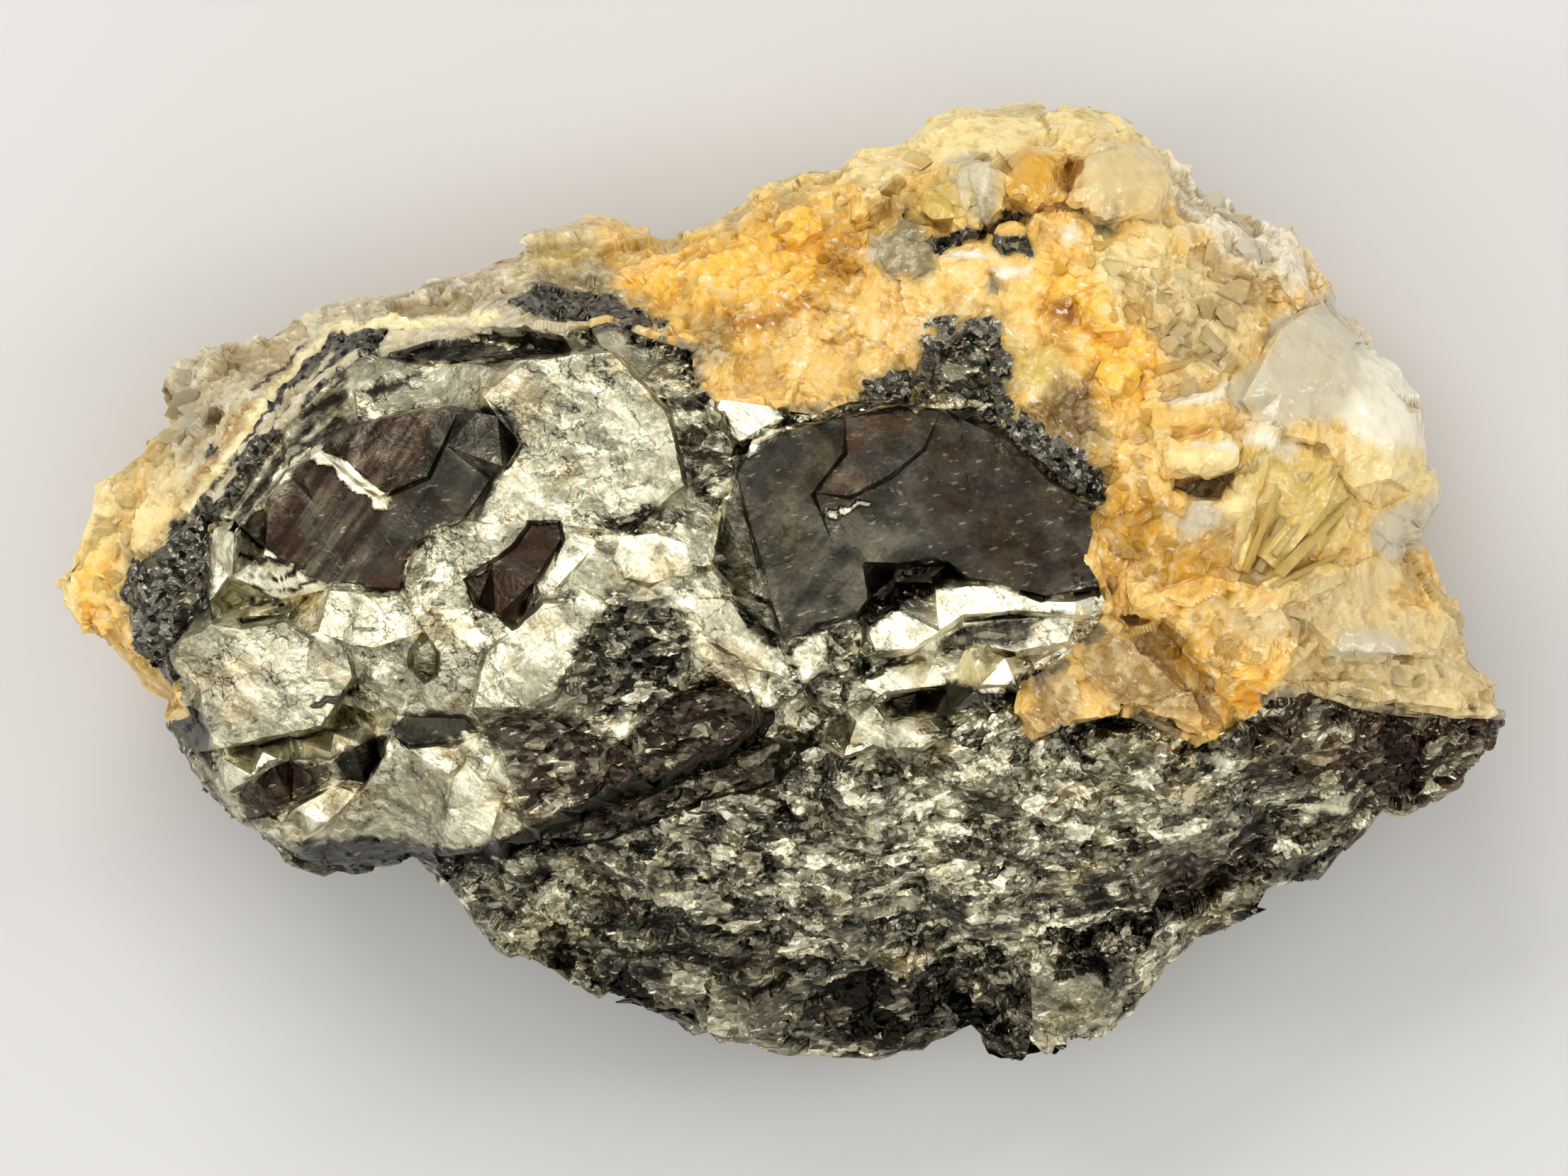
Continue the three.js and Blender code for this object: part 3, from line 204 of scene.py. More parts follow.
    dict(shade=0.55, soft=0.1, points=[(-4, 9.2), (-3.5, 9.5), (-2.3, 7), (-2.6, 6.3)]),
    dict(shade=0.02, grain=0.5, soft=0.2, points=[
        (4.1, -0.9), (4.6, 0.2), (5.9, 1.4), (7.4, 1.5), (8.6, 0.9), (8.3, 0.3), (7, 0), (5.4, -0.9)]),
    dict(shade=0.95, grain=0.1, soft=0.12, points=[
        (4, -2.6), (4.4, -1.6), (5.4, -1), (7.2, -0.1), (8.8, 0.3), (10.8, 0.2), (12.8, -0.6),
        (15, -0.2), (16.2, -0.9), (15, -2.4), (14, -3.1), (12.5, -3.8), (10.4, -2.8), (8.2, -3.2),
        (5.6, -3.4)]),
    dict(shade=0.2, grain=0.4, soft=0.25, points=[
        (7.6, -2.8), (9, -1.7), (11.2, -1.2), (13.6, -1.2), (12.4, -1.8), (11.9, -2.9), (10.5, -2.7),
        (8.3, -3.2)]),
    # a painted highlight on the ledge
    dict(shade=1.15, grain=0.06, soft=0.12, points=[
        (4, -4.7), (5.2, -4), (7.4, -3.2), (10.5, -2.8), (11.9, -4), (10.6, -5.1), (8.3, -4.7),
        (7.4, -4.9), (5.2, -5.5)]),
    dict(shade=0.14, soft=0.15, points=[
        (5.2, -5.5), (7.4, -4.9), (8.8, -4.8), (10.3, -5.3), (8.1, -6.2), (6.1, -6.3)]),
    dict(shade=0.78, grain=0.1, soft=0.15, points=[
        (1.4, -7.5), (3.2, -5.8), (4.8, -5.5), (5.3, -6.2), (4.5, -8.4), (2.8, -8.2)]),
    dict(shade=0.78, grain=0.1, soft=0.15, points=[
        (5, -6.4), (7.4, -6.2), (8.1, -6.9), (6.5, -8.4), (5.2, -8.2)]),
    dict(shade=0.85, grain=0.06, soft=0.15, points=[
        (-5.3, -0.6), (-4.4, 0.6), (-3.5, 1), (-1.7, -1.9), (-0.4, -2.9), (0.5, -4.6), (-2, -3.7),
        (-4.2, -2.2)]),
    dict(shade=0.95, grain=0.06, soft=0.12, points=[
        (0.2, -2.9), (1.6, -2.1), (2, -3.4), (1.2, -4.6), (0.8, -4.4)]),
    dict(shade=0.12, grain=0.7, soft=0.35, points=[
        (6.6, 13), (8.2, 15), (10.6, 14.8), (12.4, 9.4), (14, 7.6), (16.6, 6), (16.6, 2.6), (15.2, 3.4),
        (13.2, 5.3), (11.4, 7.3), (10.4, 8.8), (6.8, 9.6)]),
    # details of the granular mass
    dict(shade=0.34, grain=0.6, soft=0.5, points=[
        (14.4, -8), (16.2, -7), (19, -7.6), (18.6, -9), (16.4, -9.6), (14.8, -9)]),
    dict(shade=1.0, grain=0.1, soft=0.15, points=[
        (20.8, -8.2), (21.6, -8), (22.4, -8.9), (21.8, -9.4)]),
    dict(shade=1.0, grain=0.1, soft=0.15, points=[
        (25.8, -11.2), (27.4, -10.3), (28.7, -10.4), (28.3, -11.3), (26.4, -11.7)]),
    dict(shade=0.05, grain=0.2, soft=0.2, points=[
        (22.6, -12), (23.6, -11.4), (24.6, -11.8), (24.2, -12.6), (23, -12.7)]),
    dict(shade=0.05, grain=0.2, soft=0.2, points=[
        (24.8, -13.6), (26.2, -13.5), (27, -14.2), (25.4, -15.2)]),
    dict(shade=0.34, grain=0.7, red=0.25, soft=1.6, points=[
        (14, -12.6), (21, -11), (26, -13), (24, -17), (18, -16.4), (12, -15.6)]),
    dict(shade=0.26, grain=0.7, soft=1.4, points=[
        (-9, -18), (-2, -17.6), (4, -18.4), (5, -20.4), (-8, -21)]),
    # painted shade on the lower band and in the notch
    dict(shade=0.15, grain=0.3, red=0.1, soft=1.2, points=[
        (-9, -19), (-4, -20.2), (2, -19.6), (7.6, -19.8), (8, -23), (4, -25.4), (-9, -24.6)]),
    dict(shade=0.05, grain=0.2, soft=0.6, points=[
        (8.2, -19.6), (9.2, -18.8), (10.2, -20.2), (10, -22.4), (9.2, -24.4), (8.2, -22.6)]),
    # painted reflection on the lobe's wall, which faces the dark floor
    dict(shade=0.6, grain=0.2, soft=0.4, points=[
        (10.2, -19.4), (12, -18.8), (12, -24.4), (10.4, -23)]),
    dict(shade=0.36, grain=0.2, soft=0.6, points=[
        (12.2, -19), (16.4, -18), (17.6, -19.6), (16, -22), (14, -23.6), (12, -24.2), (10.6, -22.6)]),
]

# Lines on the pyrite: painted highlights along edges that catch the light, dark cracks, and a painted
# shadow line
PYRITE_LINES = [
    dict(shade=1.9, width=0.4, points=[
        (-22.9, 6.8), (-22.2, 6.3), (-21.2, 5.5), (-20.4, 4.8), (-19.8, 4.3)]),
    dict(shade=1.2, width=0.22, points=[(-24.9, 8.9), (-24.2, 9.8), (-23.5, 10.5)]),
    dict(shade=0.95, width=0.16, points=[(-27, 3.2), (-25.6, 4.9), (-23.2, 7)]),
    dict(shade=0.05, width=0.2, points=[(-26.2, 10.3), (-25, 11.4), (-23.8, 12.3)]),
    dict(shade=0.9, width=0.14, points=[(-20, 12.1), (-17, 12.2), (-14, 12), (-12, 11.8)]),
    dict(shade=1.1, width=0.22, points=[(-15.6, -7.4), (-14.8, -8.2), (-13.7, -9.6)]),
    dict(shade=1.1, width=0.2, points=[(-1.8, 6.7), (0, 8), (1.6, 8.5)]),
    dict(shade=1.1, width=0.2, points=[(2.9, 8.9), (5, 9.2)]),
    dict(shade=1.1, width=0.22, points=[(6.4, 8.9), (8.2, 9)]),
    dict(shade=1.0, width=0.2, points=[(9.2, 9.2), (10.4, 9.1)]),
    dict(shade=0.9, width=0.12, points=[(1.7, 3.6), (2.8, 3.8), (3.9, 4.1)]),
    dict(shade=0.1, width=0.14, points=[(-26.6, 1.6), (-25.2, 1.3), (-24.3, 1.05)]),
    dict(shade=0.1, width=0.12, points=[(-26.4, 0.8), (-25, 0.5), (-23.6, 0.9)]),
    dict(shade=0.1, width=0.14, points=[(-26.4, 0.2), (-25.2, -0.2), (-23, 0.3)]),
    dict(shade=0.15, width=0.12, points=[(-26.2, -0.6), (-24.6, -0.7)]),
    dict(shade=1.1, width=0.25, points=[(12.4, -0.7), (14.6, -0.5), (15.6, -0.8)]),
    dict(shade=0.05, width=0.22, points=[(-23, -5.8), (-22, -5.3), (-21, -5)]),
    dict(shade=1.0, width=0.18, points=[(24.4, -13.3), (25.4, -12.9), (26.4, -13.2), (27.2, -13.9)]),
    dict(shade=1.0, width=0.2, points=[(16.2, -15), (17.2, -14.7), (18.2, -14.8)]),
    # a painted shadow line along the crevice under the left block's overhang
    dict(shade=-0.5, width=0.6, points=[
        (-19.5, -13.5), (-15, -13.2), (-12, -12.1), (-8, -10.1), (-5, -9.1), (-2.4, -7.9), (-0.9, -6.3)]),
    dict(shade=0.9, width=0.3, points=[(2, -20), (6, -19), (9, -17.6), (12, -17.1), (18, -16.2)]),
    dict(shade=1.1, width=0.3, points=[(-5.5, -11), (-5.1, -11)]),
]

# The quartz's colours, 0 to 255. Most are as they look in even light; the darkest ones also paint shade in
# pits, cracks and hollows.
TINTS = dict(
    gold=(231, 189, 104), orange=(244, 188, 70), amber=(208, 156, 52), deep=(160, 100, 16),
    cream=(236, 212, 146), pale=(242, 230, 180), white=(234, 226, 204), yellow=(206, 176, 94),
    straw=(214, 184, 106), beige=(212, 188, 134), stone=(198, 188, 160), ash=(196, 186, 158),
    tan=(172, 138, 82), smoke=(132, 117, 84), brown=(108, 78, 30), dark_grains_and_shade=(30, 27, 22))

# Where the quartz has which colour, and where shade is painted in its pits and hollows. calm: 1 where it is
# smooth. rise: how far it stands out, in mm.
QUARTZ_ZONES = [
    # the orange and golden mass over the dark crystal
    dict(tint="orange", soft=1.6, points=[
        (-9.5, 15), (-6, 17.2), (-2.8, 19.2), (1, 19.6), (3.6, 19), (4.4, 16.5), (4, 15.5), (2.6, 14.6),
        (-0.5, 11.4), (-3.5, 11.2), (-4.3, 12.6), (-8, 14.2)]),
    dict(tint="cream", soft=1.1, points=[
        (-6, 17.6), (-3, 21), (2, 22), (5, 22.4), (6.4, 21), (4.6, 19.6), (1, 20), (-2, 18.9)]),
    dict(tint="deep", soft=1.5, points=[(2, 16.8), (3.6, 16.9), (4, 15.6), (2.4, 15.4)]),
    dict(tint="gold", soft=1.0, points=[
        (-2, 9.8), (3, 10.2), (6.5, 11.6), (8, 14), (5, 15), (2, 14.6), (0, 13)]),
    dict(tint="amber", soft=0.8, points=[
        (-4.4, 13.8), (-1, 13.8), (2, 15.2), (4.6, 15.8), (4.4, 14.8), (1.6, 13.7), (-1, 12.3),
        (-4, 12.4)]),
    dict(tint="deep", soft=0.6, points=[
        (-3.6, 13.4), (-1, 13.4), (1.4, 14.4), (1.2, 13.8), (-1, 12.7), (-3.4, 12.8)]),
    dict(tint="amber", soft=0.8, points=[(4.8, 13.4), (7, 12.9), (6.6, 11.8), (5, 12)]),
    dict(tint="brown", soft=0.9, points=[(-4.2, 12.6), (-2.8, 12.4), (-2.4, 11.2), (-4, 11.2)]),
    # the pale lobe at the top and its blocks
    dict(tint="cream", soft=0.9, calm=0.45, points=[
        (4.4, 20.6), (5, 22.6), (7, 24), (10, 25), (14, 25.4), (18.6, 24), (19.6, 21.6), (14, 21.9),
        (11, 20.8), (8, 21.4)]),
    dict(tint="white", soft=1.2, calm=0.3, points=[
        (18.4, 22.4), (21, 22), (23, 20.6), (26, 18), (26.6, 15.4), (24.4, 14.8), (22, 16.6),
        (20.6, 17.6), (19, 19.8)]),
    dict(tint="yellow", soft=0.3, calm=0.8, rise=0.5, points=[
        (7, 17.6), (6.5, 19.4), (7.8, 20.6), (9.3, 21.5), (10.8, 20.6), (10.9, 19.2), (10.2, 18),
        (8.9, 18.3)]),
    dict(tint="stone", soft=0.6, calm=0.5, points=[
        (8, 21.2), (9.4, 21.7), (10.4, 20.8), (10.6, 18.6), (9.4, 18.2), (8.8, 20)]),
    dict(tint="amber", soft=0.5, calm=0.8, rise=0.5, points=[
        (11.1, 20.8), (11.1, 18.9), (12.5, 18.7), (13.7, 19.6), (13.7, 21.4), (12.2, 21.6)]),
    dict(tint="beige", soft=0.6, calm=0.9, rise=0.9, points=[
        (14.3, 19), (15.3, 18.3), (16.4, 18), (17.5, 18.2), (18.7, 18.9), (19, 20.6),
        (18.2, 22), (15.2, 22.2)]),
    # painted shadows: a deep wedge at the left of the beige block, and darker shade under it
    dict(tint="deep", soft=0.25, calm=0.6, rise=-0.3, points=[
        (13.7, 19.6), (14.2, 19), (14.7, 21.3), (13.9, 21.3)]),
    dict(tint="smoke", soft=0.35, calm=0.4, points=[
        (14.5, 18.6), (15.6, 17.2), (16.5, 17.7), (16.3, 18.2)]),
    dict(tint="smoke", soft=0.3, calm=0.6, rise=0.3, points=[
        (4.6, 15.9), (4.9, 17.4), (5.7, 18.2), (6.7, 17.9), (7.5, 16.9), (7.5, 15.4), (5.5, 15.1)]),
    dict(tint="stone", soft=0.25, calm=0.4, points=[(4.2, 16), (4.4, 17.5), (5, 17.6), (4.9, 16)]),
    # painted shade in the pits under the blocks
    dict(tint="dark_grains_and_shade", soft=0.18, rise=-0.5, points=[(5.7, 18.2), (6, 19.2), (6.4, 18.3)]),
    dict(tint="dark_grains_and_shade", soft=0.22, rise=-0.3, points=[
        (7.2, 17.2), (8.2, 17.4), (9, 17.8), (9.9, 17.6), (9.2, 17.1), (8.3, 16.9), (7.6, 16.3)]),
    dict(tint="dark_grains_and_shade", soft=0.16, rise=-0.6, points=[
        (10.6, 17.7), (11.2, 18), (12.3, 18.6), (10.9, 18.5)]),
    dict(tint="dark_grains_and_shade", soft=0.25, rise=-0.3, points=[
        (10.2, 17.3), (12, 17.3), (12, 16.5), (11, 16.4)]),
    dict(tint="smoke", soft=0.3, points=[(9.4, 19.3), (10.4, 19.5), (10.3, 18.2), (9.5, 18.2)]),
    dict(tint="white", soft=0.15, calm=0.8, rise=0.3, points=[
        (7.7, 16.1), (8.3, 16.6), (10.8, 16.5), (9, 16)]),
    dict(tint="white", soft=0.15, calm=0.8, rise=0.3, points=[
        (10.2, 15.9), (12.1, 15.9), (12, 15.3), (11, 15.2)]),
    dict(tint="smoke", soft=0.3, points=[(9.8, 15.7), (10.8, 15.4), (11.2, 14.4), (10.2, 14.4)]),
    dict(tint="white", soft=0.3, calm=0.6, rise=0.3, points=[
        (13.4, 17.6), (14.3, 17.9), (14.5, 17), (13.8, 16.7)]),
    # the orange streak and the paler fibres on its right
    dict(tint="beige", soft=1.4, points=[
        (18, 16), (20, 17), (22.4, 15.6), (23.6, 13.4), (22, 10.6), (18.4, 10), (17.6, 13)]),
    dict(tint="orange", soft=1.1, points=[
        (12.2, 16.4), (14.6, 16.2), (14.9, 14.6), (18, 13.2), (18.4, 10), (18, 8.4), (14.8, 8.6),
        (14.4, 10.6), (14.8, 12), (13.2, 12.4), (12.2, 14)]),
    dict(tint="cream", soft=0.7, points=[
        (15, 16.4), (18.8, 17.8), (19.4, 16.2), (17.6, 14.6), (16.2, 13.4)]),
    dict(tint="deep", soft=0.7, points=[(12.8, 14.3), (14, 14.3), (14.6, 13), (13.2, 12.7)]),
    dict(tint="yellow", soft=0.35, calm=0.6, rise=0.3, points=[
        (11, 9.8), (11.1, 11.9), (12.5, 12.1), (13.9, 11.2), (13.6, 9.4)]),
    # a painted brown shadow beside the pale block
    dict(tint="brown", soft=0.7, points=[
        (13.6, 10.4), (15, 10.6), (15.6, 7.6), (14.4, 6.6), (12.4, 8.6), (12.8, 9.4)]),
    dict(tint="dark_grains_and_shade", soft=0.9, points=[
        (7.2, 12.3), (8.3, 13.4), (9.2, 13.8), (10.4, 13.7), (11.3, 12.9), (11, 10), (10.9, 8.6),
        (3.4, 8.6), (3.8, 10.2), (6.4, 10.6)]),
    dict(tint="dark_grains_and_shade", soft=0.8, points=[
        (10.8, 8.8), (12.4, 8.4), (14.6, 6.8), (15.8, 5.4), (15.6, 3.2), (12, 5)]),
    # the smooth grey face on the right, and its pale edge
    dict(tint="stone", soft=0.5, calm=0.95, points=[
        (21.9, 8.7), (21.9, 9.9), (23.4, 11.3), (24.4, 13.4), (27.6, 15), (31, 12.4), (28.8, 9),
        (28, 8.1), (23.6, 8)]),
    dict(tint="ash", soft=0.8, calm=0.95, points=[
        (23.4, 10.6), (24.6, 12.6), (27, 12.4), (27.4, 10.4), (25, 9.4)]),
    dict(tint="white", soft=0.7, calm=0.9, points=[
        (27.6, 8.2), (29.4, 13), (33, 10.4), (34, 8), (34, 4.9), (30, 5.4), (28, 6.8)]),
    dict(tint="cream", soft=0.8, calm=0.7, points=[
        (27.6, 7.4), (31.6, 6.8), (33.6, 5), (30, 4.4), (28, 4.4)]),
    dict(tint="beige", soft=0.8, points=[
        (24.6, -3), (29, -2.6), (36, -3), (37, -7), (24, -8), (24.4, -5)]),
    # the clear yellow hollow with its blades, and the bars beside it
    dict(tint="straw", soft=0.6, calm=0.6, points=[
        (22, 0.6), (22.2, 3), (22, 5), (22.5, 7.4), (25.4, 7.4), (27.8, 6.4), (28.4, 4),
        (27.6, 1), (25, 0)]),
    dict(tint="white", soft=0.5, calm=0.4, points=[
        (22.4, 8), (24, 7.9), (25.6, 7), (24.6, 6.4), (22.8, 7)]),
    dict(tint="amber", soft=0.4, points=[(25.4, 1.8), (27.2, 2.1), (27.4, 1.2), (25.8, 1)]),
    dict(tint="cream", soft=0.3, calm=0.8, rise=0.7, points=[
        (18.6, 6.8), (20, 7.1), (22.1, 7.2), (22.4, 6.7), (22.2, 5.9), (20.5, 5.5), (19.3, 5.7),
        (18.6, 6.3)]),
    dict(tint="white", soft=0.2, calm=0.9, points=[(20, 7.1), (22.1, 7.1), (21.9, 6.6), (20.2, 6.7)]),
    dict(tint="gold", soft=0.3, calm=0.7, rise=0.4, points=[
        (18, 8.3), (18.2, 7.7), (20.3, 7.6), (21.8, 8.2), (20.6, 8.8)]),
    dict(tint="white", soft=0.3, calm=0.6, rise=0.3, points=[
        (17.8, 9), (20.5, 9.7), (22, 10), (21.8, 9.3), (19, 8.8)]),
    # a painted shadow in the hollow under the blades
    dict(tint="brown", soft=0.25, rise=-0.6, points=[
        (19, 4.8), (19.8, 5.4), (22, 5.8), (21.6, 5.1), (21.2, 4.5), (20.2, 4.6)]),
    dict(tint="cream", soft=0.25, calm=0.7, rise=0.6, points=[
        (21.4, 4.1), (22, 5.4), (22.8, 5.1), (23.5, 4), (22.5, 3.2), (21.8, 3.3)]),
    dict(tint="stone", soft=0.4, calm=0.7, points=[
        (19.3, 3.2), (20.2, 4.5), (21.2, 4.5), (21.9, 3), (19.6, 2.3)]),
    dict(tint="amber", soft=0.9, points=[
        (15.8, 5), (18.4, 5.2), (19, 2.6), (22, 1.6), (22, 0), (17, -1.2), (16, 0.6), (15.6, 3)]),
    dict(tint="gold", soft=0.5, rise=0.3, points=[
        (17.2, 0.9), (19.2, 0), (19.4, -1.4), (17.2, -1.2), (16.5, -0.4)]),
    dict(tint="stone", soft=0.25, calm=0.9, rise=0.3, points=[
        (28.7, 2), (29.3, 3.2), (30.2, 4.2), (33.4, 5.1), (33, 2.6), (31.9, 2), (30, 1.3)]),
    dict(tint="ash", soft=0.3, calm=0.9, points=[(30.6, 3.2), (30.8, 4.2), (33.4, 4.9), (32.6, 3)]),
    dict(tint="beige", soft=0.6, calm=0.6, points=[
        (25, 0.4), (27.6, 0.8), (31, 1.2), (30, -1), (26, -1.2)]),
    dict(tint="beige", soft=0.8, calm=0.5, points=[
        (21, -1.4), (25, -0.6), (29, -1.2), (34.8, -1), (36, -4), (37, -6), (33, -5), (31, -3),
        (26, -2.6), (23, -3)]),
    dict(tint="gold", soft=0.4, points=[
        (19.4, -0.8), (20.6, -1), (22.6, -2.8), (25.2, -2.9), (24.6, -4), (23, -5.8),
        (22, -5.8), (20.6, -3.4)]),
    dict(tint="orange", soft=0.4, points=[
        (22, -3.6), (24.6, -3.6), (24.2, -4.6), (23, -5.8), (22, -5.8)]),
    # painted shade along the groove
    dict(tint="amber", soft=0.3, rise=-0.35, points=[
        (17.2, -1.1), (18.5, -1.5), (20.2, -2.5), (21, -3.8), (22.4, -6.4), (21.6, -6.2),
        (20.2, -4.2), (18, -2.4)]),
    dict(tint="tan", soft=0.6, points=[
        (15.8, -2), (18, -2.8), (20.2, -4.4), (21.4, -6.4), (18.6, -6.4), (15.6, -5.2), (14.8, -3.4)]),
    dict(tint="ash", soft=0.25, calm=0.95, rise=0.2, points=[
        (27.2, -3.3), (27.6, -2.2), (30, -2), (31, -2.9), (30.4, -3.3)]),
    dict(tint="beige", soft=0.5, calm=0.4, points=[
        (31.4, -3.4), (33.6, -2.9), (34.4, -4.2), (33, -4.8), (31.4, -4.6)]),
    dict(tint="tan", soft=0.5, points=[
        (12, -4.6), (13, -3.8), (14.5, -4.4), (14.3, -6.4), (13, -7.4), (12.2, -6.4)]),
    # the rough grey rim at the upper left, its druse and its cracks
    dict(tint="ash", soft=0.7, calm=0.3, points=[
        (-34, 8), (-33, 11), (-30, 13), (-25, 16), (-18, 18.4), (-10, 19), (-8.4, 15.6), (-10, 12.6),
        (-14, 11), (-20, 10), (-24, 7), (-27, 3), (-30, 3.6), (-30.8, 6.5)]),
    dict(tint="white", soft=0.9, points=[
        (-24, 15.2), (-20, 16), (-14, 16.4), (-12, 15.2), (-18, 14.4), (-23, 13.6)]),
    dict(tint="smoke", soft=0.8, points=[
        (-23, 13.4), (-18.6, 15), (-14.6, 15.4), (-14.6, 14.4), (-18.4, 13.9)]),
    dict(tint="yellow", soft=0.8, points=[
        (-13.4, 15.6), (-12.6, 17.4), (-9.4, 17.6), (-8.6, 16.2), (-10.4, 15.8)]),
    dict(tint="smoke", soft=0.9, points=[
        (-14.6, 14.6), (-12.2, 16), (-9.4, 15.8), (-6.4, 13.6), (-8.8, 13.4), (-12, 13.6)]),
    dict(tint="dark_grains_and_shade", soft=0.4, points=[
        (-13.6, 14.2), (-11.6, 15), (-9.8, 14.6), (-5.6, 13.2), (-5.8, 12.4), (-9, 13.2), (-12, 13.5)]),
    dict(tint="smoke", soft=0.5, points=[
        (-31.8, 8.6), (-31.4, 11), (-30.7, 11.6), (-30.6, 9.6), (-30.9, 8.4)]),
    dict(tint="stone", soft=0.7, points=[
        (-30.4, 4.4), (-30.4, 8.4), (-28.8, 9.6), (-27, 10.6), (-25, 11.4), (-24.4, 10.4), (-25.6, 9),
        (-27.4, 7), (-28.6, 5)]),
    dict(tint="tan", soft=0.5, points=[
        (-30.2, 3.4), (-29.2, 5.6), (-27.6, 7.8), (-25.6, 9.8), (-24.2, 11.6), (-23.4, 11), (-25, 7),
        (-27, 3.4)]),
    dict(tint="pale", soft=0.15, points=[
        (-29.7, 3.8), (-28.6, 5.2), (-27.1, 7.4), (-25.6, 9.6), (-24.3, 11.4), (-22.8, 12.9),
        (-18, 13.7), (-14, 13.7), (-14, 13.1), (-18, 13), (-22.6, 12.5), (-24, 11.1), (-25.2, 9.3),
        (-26.7, 7.1), (-28.2, 4.9), (-29.3, 3.6)]),
    dict(tint="dark_grains_and_shade", soft=0.15, points=[
        (-29.4, 3.6), (-28.2, 5), (-26.7, 7.2), (-25.2, 9.4), (-24, 11.2), (-22.6, 12.6),
        (-19.5, 12.8), (-20.5, 11), (-24.5, 7), (-27.2, 3.2)]),
    dict(tint="ash", soft=0.1, points=[
        (-28.5, 4.4), (-26.4, 7.2), (-24.7, 9.6), (-22.5, 11.9), (-22.1, 11.7), (-24.3, 9.4),
        (-26, 7), (-28.1, 4.1)]),
    dict(tint="ash", soft=0.1, points=[
        (-25.2, 8), (-23.6, 10.1), (-21.4, 12), (-20.9, 11.7), (-23.2, 9.7), (-24.7, 7.7)]),
    # painted shade in small pits and a crack
    dict(tint="brown", soft=0.35, rise=-0.4, points=[(-29.2, 8.6), (-28.6, 9), (-28, 8.6), (-28.6, 8.1)]),
    dict(tint="dark_grains_and_shade", soft=0.3, rise=-0.4, points=[(-29, 6.9), (-28.4, 7.3), (-27.9, 6.8), (-28.5, 6.4)]),
    dict(tint="smoke", soft=0.5, points=[(-28.6, 11.4), (-27.2, 11.8), (-26.4, 10.6), (-27.6, 10.2)]),
    dict(tint="dark_grains_and_shade", soft=0.2, rise=-0.4, points=[
        (-26.4, 9.9), (-25.2, 10.8), (-23.7, 12.4), (-25, 11.4)]),
    # the golden tip on the left, with the dark grains beside it
    dict(tint="cream", soft=0.8, points=[
        (-36.5, -2), (-36.5, 1.4), (-35.4, 4), (-34.4, 6.6), (-31.4, 8.8), (-30.4, 6), (-29.8, 4),
        (-31, 2), (-33, 0)]),
    dict(tint="beige", soft=0.4, points=[
        (-31.8, 5.4), (-31.4, 7.6), (-30.4, 7), (-30.2, 4.4), (-31, 4.2)]),
    dict(tint="orange", soft=0.6, points=[(-32.8, 5.1), (-32.3, 5.6), (-31.8, 5.1), (-32.3, 4.6)]),
    dict(tint="orange", soft=0.6, points=[(-33.2, 3.2), (-32.6, 3.7), (-32.2, 3.1), (-32.7, 2.8)]),
    dict(tint="orange", soft=1.0, points=[
        (-35.4, 1), (-34.4, 2), (-33, 1.6), (-32.8, 0.8), (-34, 0), (-35.2, -2)]),
    dict(tint="dark_grains_and_shade", soft=0.5, points=[
        (-33, 0), (-32.4, 1.1), (-31.2, 2), (-30.4, 3.2), (-28, 4), (-28, -4.4), (-30.6, -5),
        (-32.6, -2)]),
]

# Groups of small quartz crystals. slender: length over radius. lean: how far they lie over.
CRYSTAL_GROUPS = [
    dict(at=(1, 16.5), spread=(4.5, 2.8), count=10, radius=(0.2, 0.4), slender=(2.0, 4.0), lean=1.6),
    dict(at=(9, 19.5), spread=(4, 2), count=8, radius=(0.3, 0.6), slender=(1.6, 3.0), lean=1.4),
    dict(at=(16, 14.6), spread=(3, 2.6), count=10, radius=(0.2, 0.45), slender=(2.0, 4.0), lean=1.6),
    dict(at=(16.6, 7), spread=(1.6, 3.2), count=12, radius=(0.2, 0.4), slender=(2.2, 4.2), lean=1.6),
    dict(at=(17.6, 2), spread=(1.4, 2.6), count=10, radius=(0.2, 0.4), slender=(2.2, 4.2), lean=1.6),
    dict(at=(20.6, 12), spread=(2, 2.4), count=10, radius=(0.3, 0.55), slender=(2.0, 3.6), lean=2.0),
    dict(at=(22.4, 17), spread=(2.2, 2.6), count=10, radius=(0.4, 0.8), slender=(1.4, 2.4), lean=1.2),
    dict(at=(21.4, -3), spread=(2.4, 1.8), count=8, radius=(0.2, 0.4), slender=(2.0, 4.0), lean=1.6),
    dict(at=(-33.5, 3.2), spread=(1.4, 4), count=10, radius=(0.25, 0.5), slender=(1.6, 2.6), lean=1.4),
    dict(at=(-30.5, 9), spread=(2, 1.6), count=8, radius=(0.4, 0.8), slender=(1.2, 2.0), lean=1.0),
    dict(at=(30, -4), spread=(4, 1), count=8, radius=(0.2, 0.4), slender=(2.0, 4.0), lean=1.6),
]

# Blades of clear yellow quartz that fan out across the hollow on the right
BLADES = [
    dict(start=(22.1, 0.9), end=(22.9, 3.2), radius=0.26),
    dict(start=(22.6, 0.8), end=(24.3, 4.9), radius=0.3),
    dict(start=(23.3, 0.8), end=(25.6, 5.6), radius=0.34),
    dict(start=(24, 1.6), end=(27.3, 6), radius=0.3),
    dict(start=(24.2, 0.6), end=(27.9, 4.4), radius=0.34),
    dict(start=(24, 0.1), end=(27.8, 1.9), radius=0.28),
    dict(start=(24.4, 8), end=(22.6, 5.6), radius=0.4),
    dict(start=(18.2, 10.6), end=(21.4, 11.4), radius=0.34),
]


def random_of(cells, seed):
    """A repeatable random number from 0 to 1 for each row of whole numbers."""
    value = np.sin(cells @ np.array([127.1, 311.7, 74.7]) + seed * 19.19) * 43758.5453
    return value - np.floor(value)


